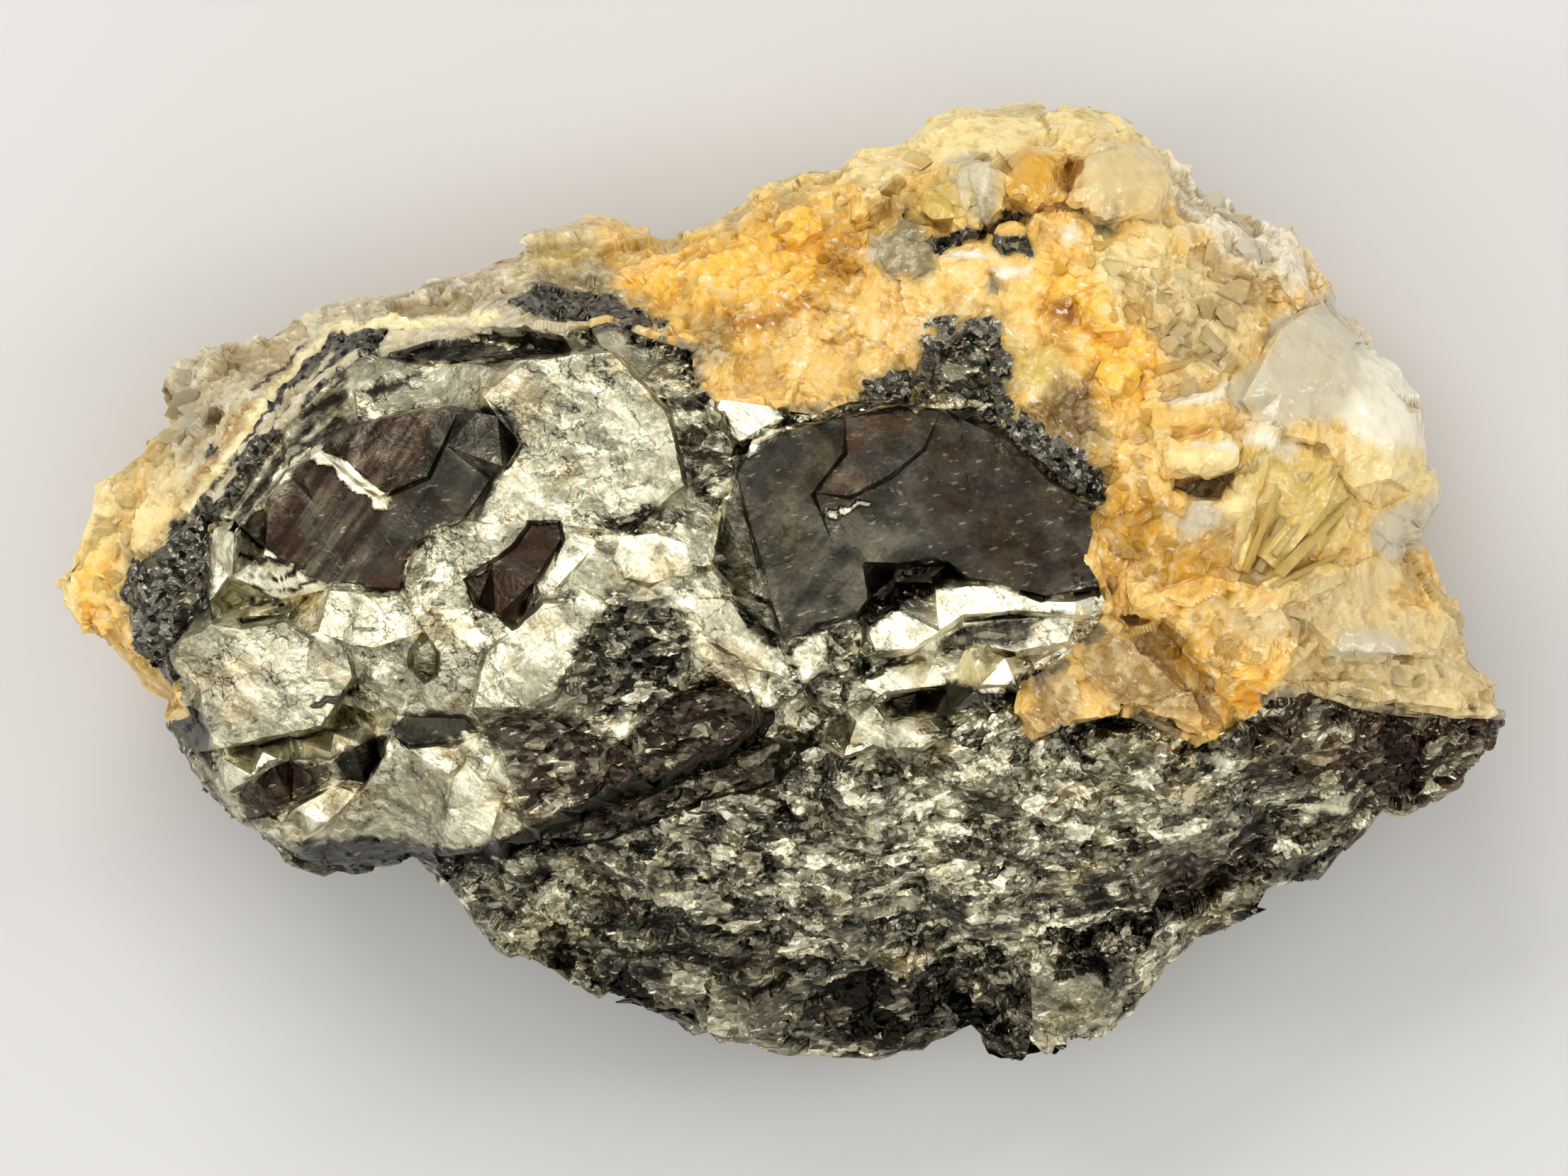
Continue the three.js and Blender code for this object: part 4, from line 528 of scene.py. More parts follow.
def facet_relief(points, size, seed, stretch=(1.0, 1.0, 1.0)):
    """Heights of a surface broken into small tilted planes, one for each cell of the given size."""
    scaled = points / (size * np.array(stretch))
    home = np.floor(scaled)
    nearest = np.full(len(points), np.inf)
    height = np.zeros(len(points))
    for i in (-1, 0, 1):
        for j in (-1, 0, 1):
            for k in (-1, 0, 1):
                cell = home + (i, j, k)
                jitter = np.stack([random_of(cell, seed + n) for n in range(3)], axis=1)
                away = scaled - cell - 0.15 - 0.7 * jitter
                far = (away ** 2).sum(axis=1)
                tilt = np.stack([random_of(cell, seed + n) - 0.5 for n in range(3, 6)], axis=1)
                value = random_of(cell, seed + 6) - 0.5 + 1.3 * (away * tilt).sum(axis=1)
                closer = far < nearest
                nearest[closer] = far[closer]
                height[closer] = value[closer]
    return height


def soft_relief(points, size, seed):
    """Smooth noise from about -0.5 to 0.5."""
    scaled = points / size
    home = np.floor(scaled)
    part = scaled - home
    part = part * part * (3 - 2 * part)
    total = np.zeros(len(points))
    for i in (0, 1):
        for j in (0, 1):
            for k in (0, 1):
                corner = np.array([i, j, k])
                weight = np.prod(np.where(corner, part, 1 - part), axis=1)
                total += weight * random_of(home + corner, seed)
    return total - 0.5


def signed_distance(plan, polygon):
    """Distance of each point of the plan to a closed line: positive inside it."""
    corners = np.array(polygon, float)
    inside = np.zeros(len(plan), bool)
    least = np.full(len(plan), np.inf)
    for a, b in zip(corners, np.roll(corners, -1, axis=0)):
        least = np.minimum(least, distance_to_segment(plan, a, b))
        crosses = (a[1] > plan[:, 1]) != (b[1] > plan[:, 1])
        rise = b[1] - a[1] if b[1] != a[1] else 1e-9
        inside ^= crosses & (plan[:, 0] < (b[0] - a[0]) * (plan[:, 1] - a[1]) / rise + a[0])
    return np.where(inside, least, -least)


def distance_to_segment(plan, a, b):
    """Distance of each point of the plan to the straight line between two ends."""
    along = b - a
    share = np.clip(((plan - a) @ along) / (along @ along), 0, 1)
    return np.linalg.norm(plan - a - share[:, None] * along, axis=1)


def distance_to_line(plan, line):
    """Distance of each point of the plan to an open line of straight stretches."""
    corners = np.array(line, float)
    return np.min([distance_to_segment(plan, a, b) for a, b in zip(corners, corners[1:])], axis=0)


def smooth(value, low, high):
    """0 up to the low value and 1 from the high one, with a soft step between them."""
    share = np.clip((value - low) / (high - low), 0, 1)
    return share * share * (3 - 2 * share)


def node_mesh(node):
    """The corners, in millimetres, and triangles of a CAD node, with equal corners merged."""
    data = node.data
    data.calc_loop_triangles()
    corners = np.zeros(len(data.vertices) * 3)
    data.vertices.foreach_get("co", corners)
    triangles = np.zeros(len(data.loop_triangles) * 3, np.int32)
    data.loop_triangles.foreach_get("vertices", triangles)
    rounded = np.round(corners.reshape(-1, 3) / MM, 3)
    points, index = np.unique(rounded, axis=0, return_inverse=True)
    triangles = index.reshape(-1)[triangles].reshape(-1, 3)
    whole = (triangles != np.roll(triangles, 1, axis=1)).all(axis=1)
    return points, triangles[whole]


def face_normals(points, triangles):
    """The direction that each triangle faces, as long as twice its area."""
    a, b, c = (points[triangles[:, n]] for n in range(3))
    return np.cross(b - a, c - a)


def vertex_normals(points, triangles):
    """The mean direction of the triangles round each point."""
    faces = face_normals(points, triangles)
    total = np.zeros_like(points)
    for n in range(3):
        for axis in range(3):
            total[:, axis] += np.bincount(triangles[:, n], faces[:, axis], len(points))
    return total / np.maximum(np.linalg.norm(total, axis=1, keepdims=True), 1e-12)


def tree_of(points, triangles):
    """A search tree of a surface, for the nearest place on it or the first one along a ray."""
    return BVHTree.FromPolygons([Vector(p) for p in points], triangles.tolist())


def edge_limits(points, triangles, other):
    """How long each triangle's edges may be, by where it is on the stone."""
    middle = points[triangles].mean(axis=1)
    normal = face_normals(points, triangles)
    up = normal[:, 2] / np.maximum(np.linalg.norm(normal, axis=1), 1e-12)
    limits = np.full(len(triangles), EDGE_WALL)
    limits[middle[:, 2] > HIGH_FROM] = EDGE_HIGH
    limits[(middle[:, 2] > TOP_FROM) & (up > 0.25)] = EDGE_TOP
    limits[(middle[:, 2] < UNDERSIDE_TO) & (up < -0.7)] = EDGE_UNDERSIDE
    touching = np.array([other.find_nearest(Vector(p), CONTACT_REACH)[0] is not None for p in middle])
    steep = (np.abs(up) < 0.6) & (middle[:, 2] < CONTACT_TO)
    limits[touching & steep] = EDGE_CONTACT
    return limits


def refine(points, triangles, limits):
    """Splits edges in half until none is longer than its triangle's limit."""
    while True:
        ends = triangles[:, [[0, 1], [1, 2], [2, 0]]]
        low, high = ends.min(axis=2), ends.max(axis=2)
        codes = low * np.int64(len(points)) + high
        keys, first, edge = np.unique(codes, return_index=True, return_inverse=True)
        edge = edge.reshape(-1, 3)
        start, end = low.reshape(-1)[first], high.reshape(-1)[first]
        length = np.linalg.norm(points[start] - points[end], axis=1)
        wanted = np.zeros(len(keys), bool)
        wanted[edge[length[edge] > limits[:, None]]] = True
        if not wanted.any():
            return points, triangles
        longest = edge[np.arange(len(edge)), length[edge].argmax(axis=1)]
        while True:
            before = wanted.sum()
            wanted[longest[wanted[edge].any(axis=1)]] = True
            if wanted.sum() == before:
                break
        middle = np.full(len(keys), -1)
        middle[wanted] = len(points) + np.arange(wanted.sum())
        points = np.vstack([points, (points[start[wanted]] + points[end[wanted]]) / 2])
        triangles, limits = split(triangles, limits, middle[edge])


def split(triangles, limits, middle):
    """The smaller triangles that take the place of each one with a new point on some of its edges."""
    count = (middle >= 0).sum(axis=1)
    made, kept = [triangles[count == 0]], [limits[count == 0]]
    for turn in range(3):
        a, b, c = (triangles[:, (turn + n) % 3] for n in range(3))
        ab, bc, ca = (middle[:, (turn + n) % 3] for n in range(3))
        one = (count == 1) & (ab >= 0)
        made += [np.stack([a, ab, c], 1)[one], np.stack([ab, b, c], 1)[one]]
        kept += [limits[one]] * 2
        two = (count == 2) & (ca < 0)
        for corners in ([ab, b, bc], [a, ab, bc], [a, bc, c]):
            made.append(np.stack(corners, 1)[two])
        kept += [limits[two]] * 3
        if turn == 0:
            all_three = count == 3
            for corners in ([a, ab, ca], [ab, b, bc], [ca, bc, c], [ab, bc, ca]):
                made.append(np.stack(corners, 1)[all_three])
                kept.append(limits[all_three])
    return np.vstack(made), np.concatenate(kept)


def distance_to_other(points, tree):
    """Distance of each point to the other mineral, up to the reach of the stain along their contact."""
    found = (tree.find_nearest(Vector(p), CONTACT_STAIN)[3] for p in points)
    return np.array([CONTACT_STAIN if far is None else far for far in found])


def contact_masks(points, normals, tree):
    """Which points are inside the contact with the other mineral, and how stained the others are by it."""
    far = distance_to_other(points, tree)
    hidden = (far < CONTACT_REACH) & (np.abs(normals[:, 2]) < 0.75)
    return hidden, 1 - smooth(far, 0.25, CONTACT_STAIN)


def share_inside(plan, polygon, low, high):
    """0 where a point is at the signed distance low from a closed line, and 1 where it is at high."""
    corners = np.array(polygon, float)
    reach = max(abs(low), abs(high))
    near = np.all((plan > corners.min(axis=0) - reach) & (plan < corners.max(axis=0) + reach), axis=1)
    share = np.zeros(len(plan))
    share[near] = smooth(signed_distance(plan[near], corners), low, high)
    return share


def linear(color):
    """The light of a screen colour of 0 to 255."""
    return (np.array(color) / 255) ** 2.2


def wobble(points, coarse, fine, seeds):
    """How far each point of the plan is pushed about, so that the zones get uneven edges."""
    large, small = (
        np.stack([soft_relief(points, size, seed) for seed in pair], axis=1)
        for size, pair in ((coarse, seeds[:2]), (fine, seeds[2:])))
    return large + 0.5 * small


def paint_pyrite(points, normals):
    """The masks that the pyrite's material reads, for each point."""
    plan = points[:, :2] + 0.5 * wobble(points, 0.9, 0.4, (3, 4, 5, 6))
    top = smooth(points[:, 2], *PYRITE_PAINT_Z) * smooth(normals[:, 2], -0.3, 0.1)
    masks = dict(
        shade=np.full(len(points), 0.36), red=np.zeros(len(points)), grain=np.full(len(points), 0.8),
        streak=np.zeros(len(points)))
    for zone in PYRITE_ZONES:
        share = share_inside(plan, zone["points"], -zone["soft"], zone["soft"]) * top
        for name, values in masks.items():
            values += (zone.get(name, 0.0) - values) * share
    for line in PYRITE_LINES:
        far = distance_to_line(plan, line["points"])
        share = (1 - smooth(far, line["width"] * 0.4, line["width"])) * top
        masks["shade"] += (line["shade"] - masks["shade"]) * share
    return masks


def paint_quartz(points):
    """The colour of each point of the quartz, how smooth it is there and how far it stands out."""
    push = wobble(points, 1.1, 0.45, (5, 6, 7, 12))
    top = smooth(points[:, 2], *QUARTZ_PAINT_Z)
    patchy = smooth(soft_relief(points, 6, 8) + 0.4 * soft_relief(points, 2.2, 9), -0.15, 0.3)[:, None]
    tint = linear(TINTS["beige"]) * (1 - patchy) + linear(TINTS["orange"]) * patchy
    tint += (linear(TINTS["gold"]) - tint) * top[:, None]
    calm, rise, dark = (np.zeros(len(points)) for _ in range(3))
    for zone in QUARTZ_ZONES:
        plan = points[:, :2] + min(1.4, 0.3 + zone["soft"]) * push
        share = share_inside(plan, zone["points"], -zone["soft"], zone["soft"]) * top
        tint += (linear(TINTS[zone["tint"]]) - tint) * share[:, None]
        calm += (zone.get("calm", 0.0) - calm) * share
        dark += ((zone["tint"] == "dark_grains_and_shade") - dark) * share
        if "rise" in zone:
            rise += zone["rise"] * share_inside(plan, zone["points"], -0.15, 0.75) * top
    return dict(tint=tint, calm=calm, rise=rise, dark=dark)


def pyrite_relief(points, normals, masks):
    """Height of the broken surface over the CAD's, in millimetres."""
    foliated = points @ FOLIATION
    coarse = facet_relief(foliated, 1.25, 11, (1.5, 0.8, 0.8))
    fine = facet_relief(foliated, 0.6, 23, (1.3, 0.9, 0.9))
    height = masks["grain"] * (0.34 * coarse + 0.2 * fine) * (0.5 + 0.5 * smooth(normals[:, 2], 0.1, 0.5))
    hackly = smooth(masks["shade"], 0.25, 0.5) * (1 - masks["grain"])
    hackles = facet_relief(points, 0.8, 33, (1.6, 0.8, 1))
    height += 0.04 * facet_relief(points, 1.6, 31) + hackly * 0.11 * hackles
    across = points[:, 0] * ACROSS_STREAKS[0] + points[:, 1] * ACROSS_STREAKS[1]
    steps = np.floor(across / 0.62 + 0.5 * soft_relief(points, 3, 37))
    height += 0.12 * masks["streak"] * (random_of(np.stack([steps, steps * 0, steps * 0], 1), 5) - 0.5)
    return height


def quartz_relief(points, masks):
    """Height of the quartz's blocks, lumps and sugary grains over the CAD's surface."""
    blocks = facet_relief(points, 3.2, 51)
    lumps = facet_relief(points, 1.3, 53)
    sugar = facet_relief(points, 0.6, 57)
    rough = 0.42 * blocks + 0.22 * lumps + 0.13 * sugar
    return (1 - 0.9 * masks["calm"]) * rough + masks["rise"] + 0.06 * soft_relief(points, 0.5, 61)


def side_relief(points):
    """Coarse breaks on the sides, where the plan's facets don't reach."""
    side = (1 - smooth(points[:, 2], *BREAKS_FADE_Z)) * smooth(points[:, 0], *BREAKS_FADE_X)
    return side * (0.9 * facet_relief(points, 4.5, 71) + 0.4 * facet_relief(points, 2.1, 77) - 0.3)


def crystal(foot, along, radius, length, turn):
    """A flattened six-sided crystal with a slanting broken end: its corners and triangles."""
    direction = along / np.linalg.norm(along)
    side = np.cross(direction, (0.31, 0.87, 0.39))
    side /= np.linalg.norm(side)
    other = np.cross(direction, side)
    wide = math.cos(turn) * side + math.sin(turn) * other
    thin = math.cos(turn) * other - math.sin(turn) * side
    angles = np.arange(6) * math.pi / 3
    ring = radius * (1.15 * np.cos(angles)[:, None] * wide + 0.7 * np.sin(angles)[:, None] * thin)
    slant = 0.75 * radius * np.cos(angles + 3 * turn)
    corners = np.vstack([ring + foot, ring * 0.9 + foot + direction * (length + slant)[:, None]])
    triangles = [(0, n + 1, n) for n in range(1, 5)] + [(6, 6 + n, 7 + n) for n in range(1, 5)]
    for k in range(6):
        j = (k + 1) % 6
        triangles += [(k, j, 6 + j), (k, 6 + j, 6 + k)]
    return corners, np.array(triangles)


def quartz_crystals(tree):
    """All the small crystals as one set of corners and triangles, standing on the quartz."""
    made = []

    def surface(x, y):
        """Where the quartz's surface is at a place of the plan, and which way it faces."""
        hit = tree.ray_cast(Vector((x, y, ABOVE_ALL)), Vector((0, 0, -1)))
        return (np.array(hit[0]), np.array(hit[1])) if hit[0] is not None else (None, None)

    for group in CRYSTAL_GROUPS:
        for _ in range(group["count"]):
            angle, out = RNG.uniform(0, 2 * math.pi), math.sqrt(RNG.uniform())
            x = group["at"][0] + group["spread"][0] * out * math.cos(angle)
            y = group["at"][1] + group["spread"][1] * out * math.sin(angle)
            radius, slender = RNG.uniform(*group["radius"]), RNG.uniform(*group["slender"])
            lean, turn = RNG.uniform(-group["lean"], group["lean"], 3), RNG.uniform(0, math.pi)
            foot, normal = surface(x, y)
            if foot is None or foot[2] < CRYSTALS_FROM:
                continue
            along = normal * 0.8 + (0, 0, 0.4) + lean
            along[2] = max(along[2], 0.25)
            length = radius * slender
            sunk = along / np.linalg.norm(along) * length * 0.6
            made.append(crystal(foot - sunk, along, radius, length, turn))
    for blade in BLADES:
        (start, _), (end, _) = surface(*blade["start"]), surface(*blade["end"])
        lift = np.array([0, 0, 0.12 * blade["radius"]])
        length = np.linalg.norm(end - start)
        made.append(crystal(start + lift, end - start, blade["radius"], length, RNG.uniform(0, math.pi)))
    offsets = np.cumsum([0] + [len(corners) for corners, _ in made[:-1]])
    triangles = [faces + offset for (_, faces), offset in zip(made, offsets)]
    return np.vstack([corners for corners, _ in made]), np.vstack(triangles)


def make_object(name, points, triangles, masks, materials, material_index):
    """A mesh object whose masks are attributes that its materials read."""
    data = bpy.data.meshes.new(name)
    data.from_pydata((points * MM).tolist(), [], triangles.tolist())
    for mask, values in masks.items():
        if values.ndim == 2:
            layer = data.attributes.new(mask, "FLOAT_VECTOR", "POINT")
            layer.data.foreach_set("vector", np.asarray(values, np.float32).reshape(-1))
        else:
            layer = data.attributes.new(mask, "FLOAT", "POINT")
            layer.data.foreach_set("value", np.asarray(values, np.float32))
    for material in materials:
        data.materials.append(material)
    data.polygons.foreach_set("material_index", np.asarray(material_index, np.int32))
    data.shade_smooth()
    data.set_sharp_from_angle(angle=SHARP_ANGLE)
    data.update()
    piece = bpy.data.objects.new(name, data)
    bpy.context.scene.collection.objects.link(piece)
    return piece


# The pyrite's colours, 0 to 1: from its darkest tone to its brightest, then its film and its rust
METAL_TONES = [
    (0.0, (0.018, 0.016, 0.012)), (0.14, (0.055, 0.05, 0.038)), (0.32, (0.14, 0.129, 0.09)),
    (0.55, (0.33, 0.308, 0.212)), (0.8, (0.61, 0.575, 0.41)), (1.0, (0.95, 0.905, 0.71))]
MAROON = (0.075, 0.035, 0.026)
MAROON_FILM = (0.96, 0.76, 0.64)
RUST_FILM = (0.7, 0.55, 0.3)

# The quartz's details, 0 to 1, with a painted glint and a painted shade for its hollows
FIBRE_FILM = (0.72, 0.62, 0.42)
FIBRE_PALE = (0.86, 0.74, 0.42)
GRAIN_PALE = (0.86, 0.76, 0.46)
GLINT = (0.92, 0.87, 0.7)
HOLLOW_SHADE = (0.3, 0.18, 0.035)
DARK_GRAIN_LOW = (0.012, 0.011, 0.009)
DARK_GRAIN_HIGH = (0.23, 0.215, 0.165)


class Graph:
    """Adds nodes to one new material and joins them."""

    def __init__(self, name):
        self.material = bpy.data.materials.new(name)
        self.material.use_nodes = True
        self.tree = self.material.node_tree
        self.surface = self.tree.nodes["Principled BSDF"]
        position = self.add("ShaderNodeTexCoord", output="Object")
        self.mm = self.add("ShaderNodeVectorMath", {0: position, "Scale": 1 / MM}, operation="SCALE")

    def add(self, kind, inputs=None, output=0, **settings):
        node = self.tree.nodes.new(kind)
        for name, value in settings.items():
            setattr(node, name, value)
        for name, value in (inputs or {}).items():
            self.plug(node.inputs[name], value)
        return node.outputs[output]

    def plug(self, socket, value):
        if isinstance(value, bpy.types.NodeSocket):
            self.tree.links.new(value, socket)
        else:
            socket.default_value = value

    def finish(self, **inputs):
        for name, value in inputs.items():
            self.plug(self.surface.inputs[name.replace("_", " ")], value)
        return self.material

    def mask(self, name, output="Fac"):
        return self.add("ShaderNodeAttribute", output=output, attribute_name=name)

    def sum(self, a, b):
        return self.add("ShaderNodeMath", {0: a, 1: b}, operation="ADD")

    def times(self, a, b):
        return self.add("ShaderNodeMath", {0: a, 1: b}, operation="MULTIPLY")

    def fade(self, value, low, high, at_low=0.0, at_high=1.0):
        inputs = {"Value": value, "From Min": low, "From Max": high, "To Min": at_low, "To Max": at_high}
        return self.add("ShaderNodeMapRange", inputs, interpolation_type="SMOOTHSTEP")

    def mix(self, share, a, b, blend="MIX"):
        colors = [(*c, 1) if isinstance(c, tuple) else c for c in (a, b)]
        inputs = {0: share, 6: colors[0], 7: colors[1]}
        return self.add("ShaderNodeMix", inputs, 2, data_type="RGBA", blend_type=blend)

    def noise(self, per_mm, detail=2.0, vector=None, output="Fac"):
        inputs = {"Vector": vector or self.mm, "Scale": per_mm, "Detail": detail}
        return self.add("ShaderNodeTexNoise", inputs, output)

    def cells(self, per_mm, vector):
        """A random colour for each cell of a surface broken into grains."""
        return self.add("ShaderNodeTexVoronoi", {"Vector": vector, "Scale": per_mm}, "Color")

    def channel(self, color, which):
        return self.add("ShaderNodeSeparateColor", {0: color}, which)

    def stretched(self, lengths, turn=0.0, vector=None):
        """Coordinates that make a texture longer along axes turned about the vertical."""
        inputs = {"Vector": vector or self.mm, "Rotation": (0, 0, turn), "Scale": lengths}
        return self.add("ShaderNodeMapping", inputs, vector_type="TEXTURE")

    def lines(self, value, width):
        """1 along the lines where a noise crosses its middle value."""
        off = self.add("ShaderNodeMath", {0: self.sum(value, -0.5)}, operation="ABSOLUTE")
        return self.fade(off, 0.0, width, 1.0, 0.0)

    def warped(self, amount, per_mm, vector=None):
        """Coordinates pushed about by noise, so that cells get uneven sides."""
        push = self.noise(per_mm, 2, vector, "Color")
        centred = self.add("ShaderNodeVectorMath", {0: push, 1: (0.5, 0.5, 0.5)}, operation="SUBTRACT")
        scaled = self.add("ShaderNodeVectorMath", {0: centred, "Scale": amount}, operation="SCALE")
        return self.add("ShaderNodeVectorMath", {0: vector or self.mm, 1: scaled}, operation="ADD")

    def tilted(self, amount, *colors):
        """The surface's normal turned a different way in each cell, as on broken grains."""
        normal = self.add("ShaderNodeNewGeometry", output="Normal")
        for color in colors:
            centred = self.add("ShaderNodeVectorMath", {0: color, 1: (0.5, 0.5, 0.5)}, operation="SUBTRACT")
            scaled = self.add("ShaderNodeVectorMath", {0: centred, "Scale": amount}, operation="SCALE")
            normal = self.add("ShaderNodeVectorMath", {0: normal, 1: scaled}, operation="ADD")
        return self.add("ShaderNodeVectorMath", {0: normal}, operation="NORMALIZE")

    def bump(self, height, depth_mm, normal):
        inputs = {"Height": height, "Distance": depth_mm * MM, "Strength": 1.0, "Normal": normal}
        return self.add("ShaderNodeBump", inputs, "Normal")

    def ramp(self, value, stops):
        node = self.tree.nodes.new("ShaderNodeValToRGB")
        while len(node.color_ramp.elements) < len(stops):
            node.color_ramp.elements.new(0.5)
        for element, (position, color) in zip(node.color_ramp.elements, stops):
            element.position = position
            element.color = (*color, 1)
        self.plug(node.inputs[0], value)
        return node.outputs[0]


def pyrite_material():
    g = Graph("pyrite_metal")
    shade, red, grain, streak, relief, contact = (
        g.mask(name) for name in ("shade", "red", "grain", "streak", "relief", "contact"))
    foliated = g.warped(0.4, 1.4, g.stretched((1.8, 0.95, 0.95), math.radians(8)))
    flakes = g.cells(0.55, foliated)
    coarse = g.cells(1.25, foliated)
    fine = g.cells(3.2, foliated)
    flowing = g.stretched((2.6, 0.9, 1.0), math.radians(-42), g.warped(2.6, 0.22))
    folds = g.noise(0.85, 5, flowing)
    creases = g.noise(0.55, 5, g.warped(0.9, 0.9))
    speckle = g.noise(4.5, 3)
    clouds = g.noise(0.28, 2)

    # brightness: the zone's own, then flakes and grains, folds, a fine speckle and dark creases, with
    # painted sparkle, painted reflection on the folds and painted light and shade by the relief
    granular = g.sum(g.times(0.24, g.channel(flakes, 0)), g.times(0.4, g.channel(coarse, 0)))
    granular = g.sum(g.sum(granular, g.times(0.5, g.channel(fine, 1))), -0.57)
    granular = g.sum(granular, g.fade(g.channel(coarse, 2), 0.76, 0.84, 0.0, 0.36))
    tone = g.sum(shade, g.times(grain, granular))
    lit = g.fade(shade, 0.12, 0.5, 0.12, 1.0)
    tone = g.sum(tone, g.times(lit, g.fade(folds, 0.32, 0.68, -0.2, 0.16)))
    tone = g.sum(tone, g.times(g.sum(lit, 0.25), g.times(0.36, g.sum(speckle, -0.5))))
    tone = g.sum(tone, g.fade(creases, 0.42, 0.58, -0.045, 0.045))
    # painted highlight where the surface stands out, painted shade where it sinks
    tone = g.sum(tone, g.times(0.5, relief))
    broken = g.times(lit, g.fade(clouds, 0.38, 0.56, 0.15, 1.0))
    tone = g.sum(tone, g.times(-0.38, g.times(broken, g.lines(creases, 0.016))))
    tone = g.sum(tone, g.times(-0.22, g.times(broken, g.lines(folds, 0.016))))
    # painted glints on the grains
    sparks = g.fade(g.noise(2.6, 3, g.stretched((1.8, 0.7, 1.0), math.radians(14))), 0.64, 0.69)
    tone = g.sum(tone, g.times(sparks, g.fade(grain, 0.0, 0.6, 0.22, 0.6)))
    hairlines = g.times(g.lines(folds, 0.006), g.fade(clouds, 0.5, 0.6))
    tone = g.sum(tone, g.times(g.fade(shade, 0.16, 0.3, 0.3, 0.0), hairlines))
    patches = g.fade(g.noise(0.36, 3), 0.44, 0.6)
    tone = g.sum(tone, g.times(g.times(contact, patches), g.fade(speckle, 0.35, 0.62, -0.5, 0.1)))
    banded = g.stretched((12, 1, 1), math.radians(55), g.warped(0.2, 0.5))
    bands = g.fade(g.noise(1.5, 4, banded), 0.36, 0.66, -0.5, 0.6)
    tone = g.sum(tone, g.times(g.times(streak, g.sum(0.17, g.times(0.75, shade))), bands))

    # colour: the tone's own, then a maroon film and rust
    color = g.ramp(tone, METAL_TONES)
    film = g.times(red, g.fade(g.noise(0.9, 3), 0.34, 0.62, 0.3, 1.0))
    film = g.times(film, g.fade(tone, 0.3, 0.7, 1.0, 0.1))
    color = g.mix(film, color, g.mix(0.45, color, MAROON))
    color = g.mix(film, color, MAROON_FILM, "MULTIPLY")
    rust = g.times(g.fade(g.noise(0.35, 3), 0.52, 0.66), 0.45)
    color = g.mix(rust, color, RUST_FILM, "MULTIPLY")

    normal = g.tilted(g.fade(grain, 0.0, 1.0, 0.06, 0.68), coarse, fine)
    height = g.sum(g.times(g.times(folds, lit), 0.24), g.times(g.sum(speckle, creases), 0.05))
    normal = g.bump(height, 1.0, normal)
    return g.finish(
        Base_Color=color, Metallic=1.0, Roughness=g.fade(g.sum(tone, speckle), 0.2, 1.6, 0.34, 0.44),
        Normal=normal)


def quartz_color(g, sugar, dark):
    """Milky quartz: its zone's tint with fine fibres, brighter grains and painted glints, and a painted
    brown shade in the hollows.
    """
    tint, relief, contact = g.mask("tint", "Vector"), g.mask("relief"), g.mask("contact")
    rough = g.fade(g.mask("calm"), 0.2, 0.9, 1.0, 0.35)
    fibres = g.noise(1.3, 5, g.warped(0.5, 1.2, g.stretched((1.0, 1.7, 1.0), math.radians(-15))))
    deeper = g.mix(1.0, tint, FIBRE_FILM, "MULTIPLY")
    color = g.mix(g.times(rough, g.fade(fibres, 0.5, 0.66, 0.0, 0.85)), tint, deeper)
    color = g.mix(g.times(rough, g.fade(fibres, 0.34, 0.48, 0.4, 0.0)), color, FIBRE_PALE)
    color = g.mix(g.times(rough, g.fade(g.channel(sugar, 0), 0.5, 1.0, 0.0, 0.24)), color, GRAIN_PALE)
    # painted glints: specks of near-white colour that stand for small highlights
    glints = g.noise(2.4, 3, g.stretched((1.5, 0.8, 1.0), math.radians(-30)))
    color = g.mix(g.times(rough, g.fade(glints, 0.63, 0.68, 0.0, 0.55)), color, GLINT)
    # painted brown shade where the relief sinks
    color = g.mix(g.fade(relief, -0.35, 0.0, 0.5, 0.0), color, HOLLOW_SHADE)
    grains = g.mix(g.channel(sugar, 1), DARK_GRAIN_LOW, DARK_GRAIN_HIGH)
    patches = g.fade(g.noise(0.36, 2), 0.44, 0.6)
    touched = g.sum(g.times(contact, patches), g.times(1.1, g.sum(fibres, -0.5)))
    color = g.mix(g.fade(touched, 0.5, 1.0, 0.0, 0.8), color, grains)
    return g.mix(dark, color, grains)


def quartz_material(name, clearness):
    g = Graph(name)
    sugar = g.cells(3.2, g.warped(0.4, 1.5))
    dark = g.fade(g.sum(g.mask("dark"), g.times(1.2, g.sum(g.noise(1.6, 4), -0.5))), 0.42, 0.62)
    rough = g.fade(g.mask("calm"), 0.2, 0.9, 1.0, 0.3)
    normal = g.tilted(g.sum(g.times(rough, 0.2), g.times(dark, 0.6)), sugar)
    normal = g.bump(g.times(rough, g.noise(1.8, 3)), 0.2, normal)
    return g.finish(
        Base_Color=quartz_color(g, sugar, dark), Metallic=g.times(0.8, dark), Normal=normal, IOR=1.54,
        Roughness=g.fade(rough, 0.3, 1.0, 0.14, 0.3), Specular_IOR_Level=0.4, Transmission_Weight=clearness,
        Subsurface_Weight=0.3, Subsurface_Radius=(0.85, 0.8, 0.65), Subsurface_Scale=0.7 * MM)


def fine_surface(name, other_name):
    """A CAD node cut finer, its normals, and where the other mineral hides it or stains it."""
    other = tree_of(*node_mesh(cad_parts[other_name]))
    points, triangles = node_mesh(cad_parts[name])
    points, triangles = refine(points, triangles, edge_limits(points, triangles, other))
    normals = vertex_normals(points, triangles)
    hidden, stained = contact_masks(points, normals, other)
    return points, triangles, normals, hidden, stained * smooth(points[:, 0], *STAIN_FADE_X)


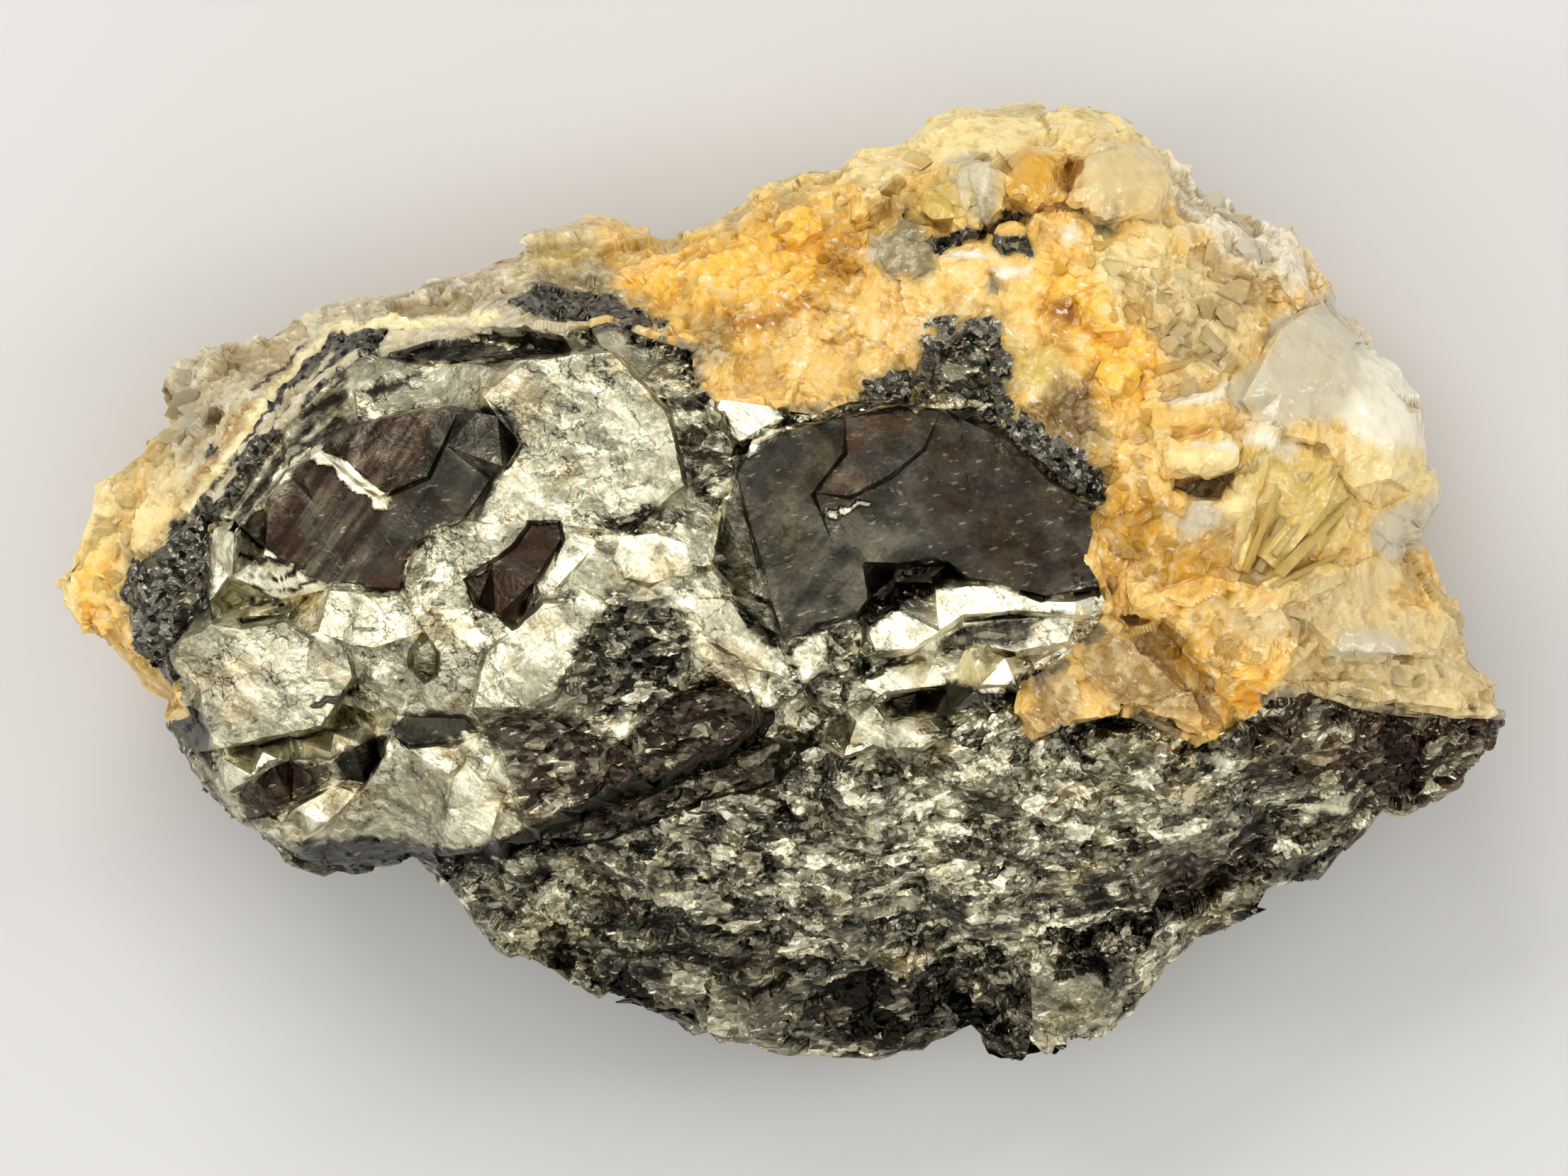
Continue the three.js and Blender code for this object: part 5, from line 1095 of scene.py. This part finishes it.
def broken(points, normals, relief, hidden):
    """The points moved out by their relief: just across the clearance where hidden, and never below 0."""
    moved = points + normals * np.where(hidden, CONTACT_SWELL, relief)[:, None]
    moved[:, 2] = np.maximum(moved[:, 2], 0)
    return moved


def build_pyrite():
    points, triangles, normals, hidden, stained = fine_surface("pyrite", "quartz")
    masks = paint_pyrite(points, normals)
    relief = pyrite_relief(points, normals, masks) + side_relief(points)
    masks |= dict(relief=np.where(hidden, 0, relief), contact=stained)
    points = broken(points, normals, relief, hidden)
    index = np.zeros(len(triangles))
    return make_object("pyrite_mass", points, triangles, masks, [pyrite_material()], index)


def build_quartz():
    points, triangles, normals, hidden, stained = fine_surface("quartz", "pyrite")
    masks = paint_quartz(points)
    relief = quartz_relief(points, masks) + side_relief(points)
    points = broken(points, normals, relief, hidden)

    grown, faces = quartz_crystals(tree_of(points, triangles))
    grown_masks = paint_quartz(grown)
    none = np.zeros(len(grown))
    masks = dict(
        tint=np.vstack([masks["tint"], grown_masks["tint"]]),
        dark=np.append(masks["dark"], grown_masks["dark"]),
        calm=np.append(masks["calm"], none + 0.8),
        relief=np.append(np.where(hidden, 0, relief), none),
        contact=np.append(stained, none))
    index = np.concatenate([np.zeros(len(triangles)), np.ones(len(faces))])
    materials = [quartz_material("quartz_milky", 0.0), quartz_material("quartz_crystal", 0.35)]
    triangles = np.vstack([triangles, faces + len(points)])
    points = np.vstack([points, grown])
    return make_object("quartz_mass", points, triangles, masks, materials, index)


def build_floor():
    """A plain pale floor of 3 by 3 metres."""
    half = 1.5
    corners = [(-half, -half, 0), (half, -half, 0), (half, half, 0), (-half, half, 0)]
    data = bpy.data.meshes.new("floor")
    data.from_pydata(corners, [], [(0, 1, 2, 3)])
    g = Graph("floor_pale")
    data.materials.append(g.finish(Base_Color=(0.6, 0.59, 0.57, 1), Roughness=0.7))
    floor = bpy.data.objects.new("floor", data)
    bpy.context.scene.collection.objects.link(floor)


def softbox(name, position, size, power):
    """A flat lamp that faces the middle of the stone. Its sizes are in metres and its power in watts."""
    middle = Vector((0, 0, 0.015))
    light = bpy.data.lights.new(name, "AREA")
    light.shape = "RECTANGLE"
    light.size, light.size_y = size
    light.energy = power
    lamp = bpy.data.objects.new(name, light)
    lamp.location = position
    lamp.rotation_euler = (middle - Vector(position)).to_track_quat("-Z", "Y").to_euler()
    lamp.visible_camera = False
    bpy.context.scene.collection.objects.link(lamp)


def build_studio():
    softbox("overhead", (0.0, 0.0, 0.5), (0.5, 0.45), 0.8)
    softbox("key", (-0.14, 0.3, 0.38), (0.3, 0.14), 1.1)
    softbox("right", (0.42, 0.05, 0.26), (0.1, 0.3), 0.6)
    softbox("left", (-0.42, -0.05, 0.24), (0.1, 0.3), 0.5)
    softbox("front", (0.05, -0.42, 0.3), (0.4, 0.08), 0.4)
    world = bpy.data.worlds.new("studio")
    world.use_nodes = True
    background = world.node_tree.nodes["Background"]
    background.inputs["Color"].default_value = (1.0, 0.98, 0.95, 1)
    background.inputs["Strength"].default_value = 0.5
    bpy.context.scene.world = world


def build_camera():
    """Looks straight down on the best side. The long lens keeps the outline's proportions."""
    data = bpy.data.cameras.new("camera")
    data.lens = 300
    data.sensor_width = 36
    camera = bpy.data.objects.new("camera", data)
    picture_width = 0.07826
    outline_height = 0.014
    camera.location = (0, 0, outline_height + picture_width * data.lens / data.sensor_width)
    bpy.context.scene.collection.objects.link(camera)
    bpy.context.scene.camera = camera


for piece, node, slot in ((build_pyrite(), "pyrite", "pyrite"), (build_quartz(), "quartz", "quartz")):
    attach(piece, "root")
    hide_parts(node)
build_floor()
build_studio()
build_camera()
bpy.context.scene.view_settings.view_transform = "Standard"
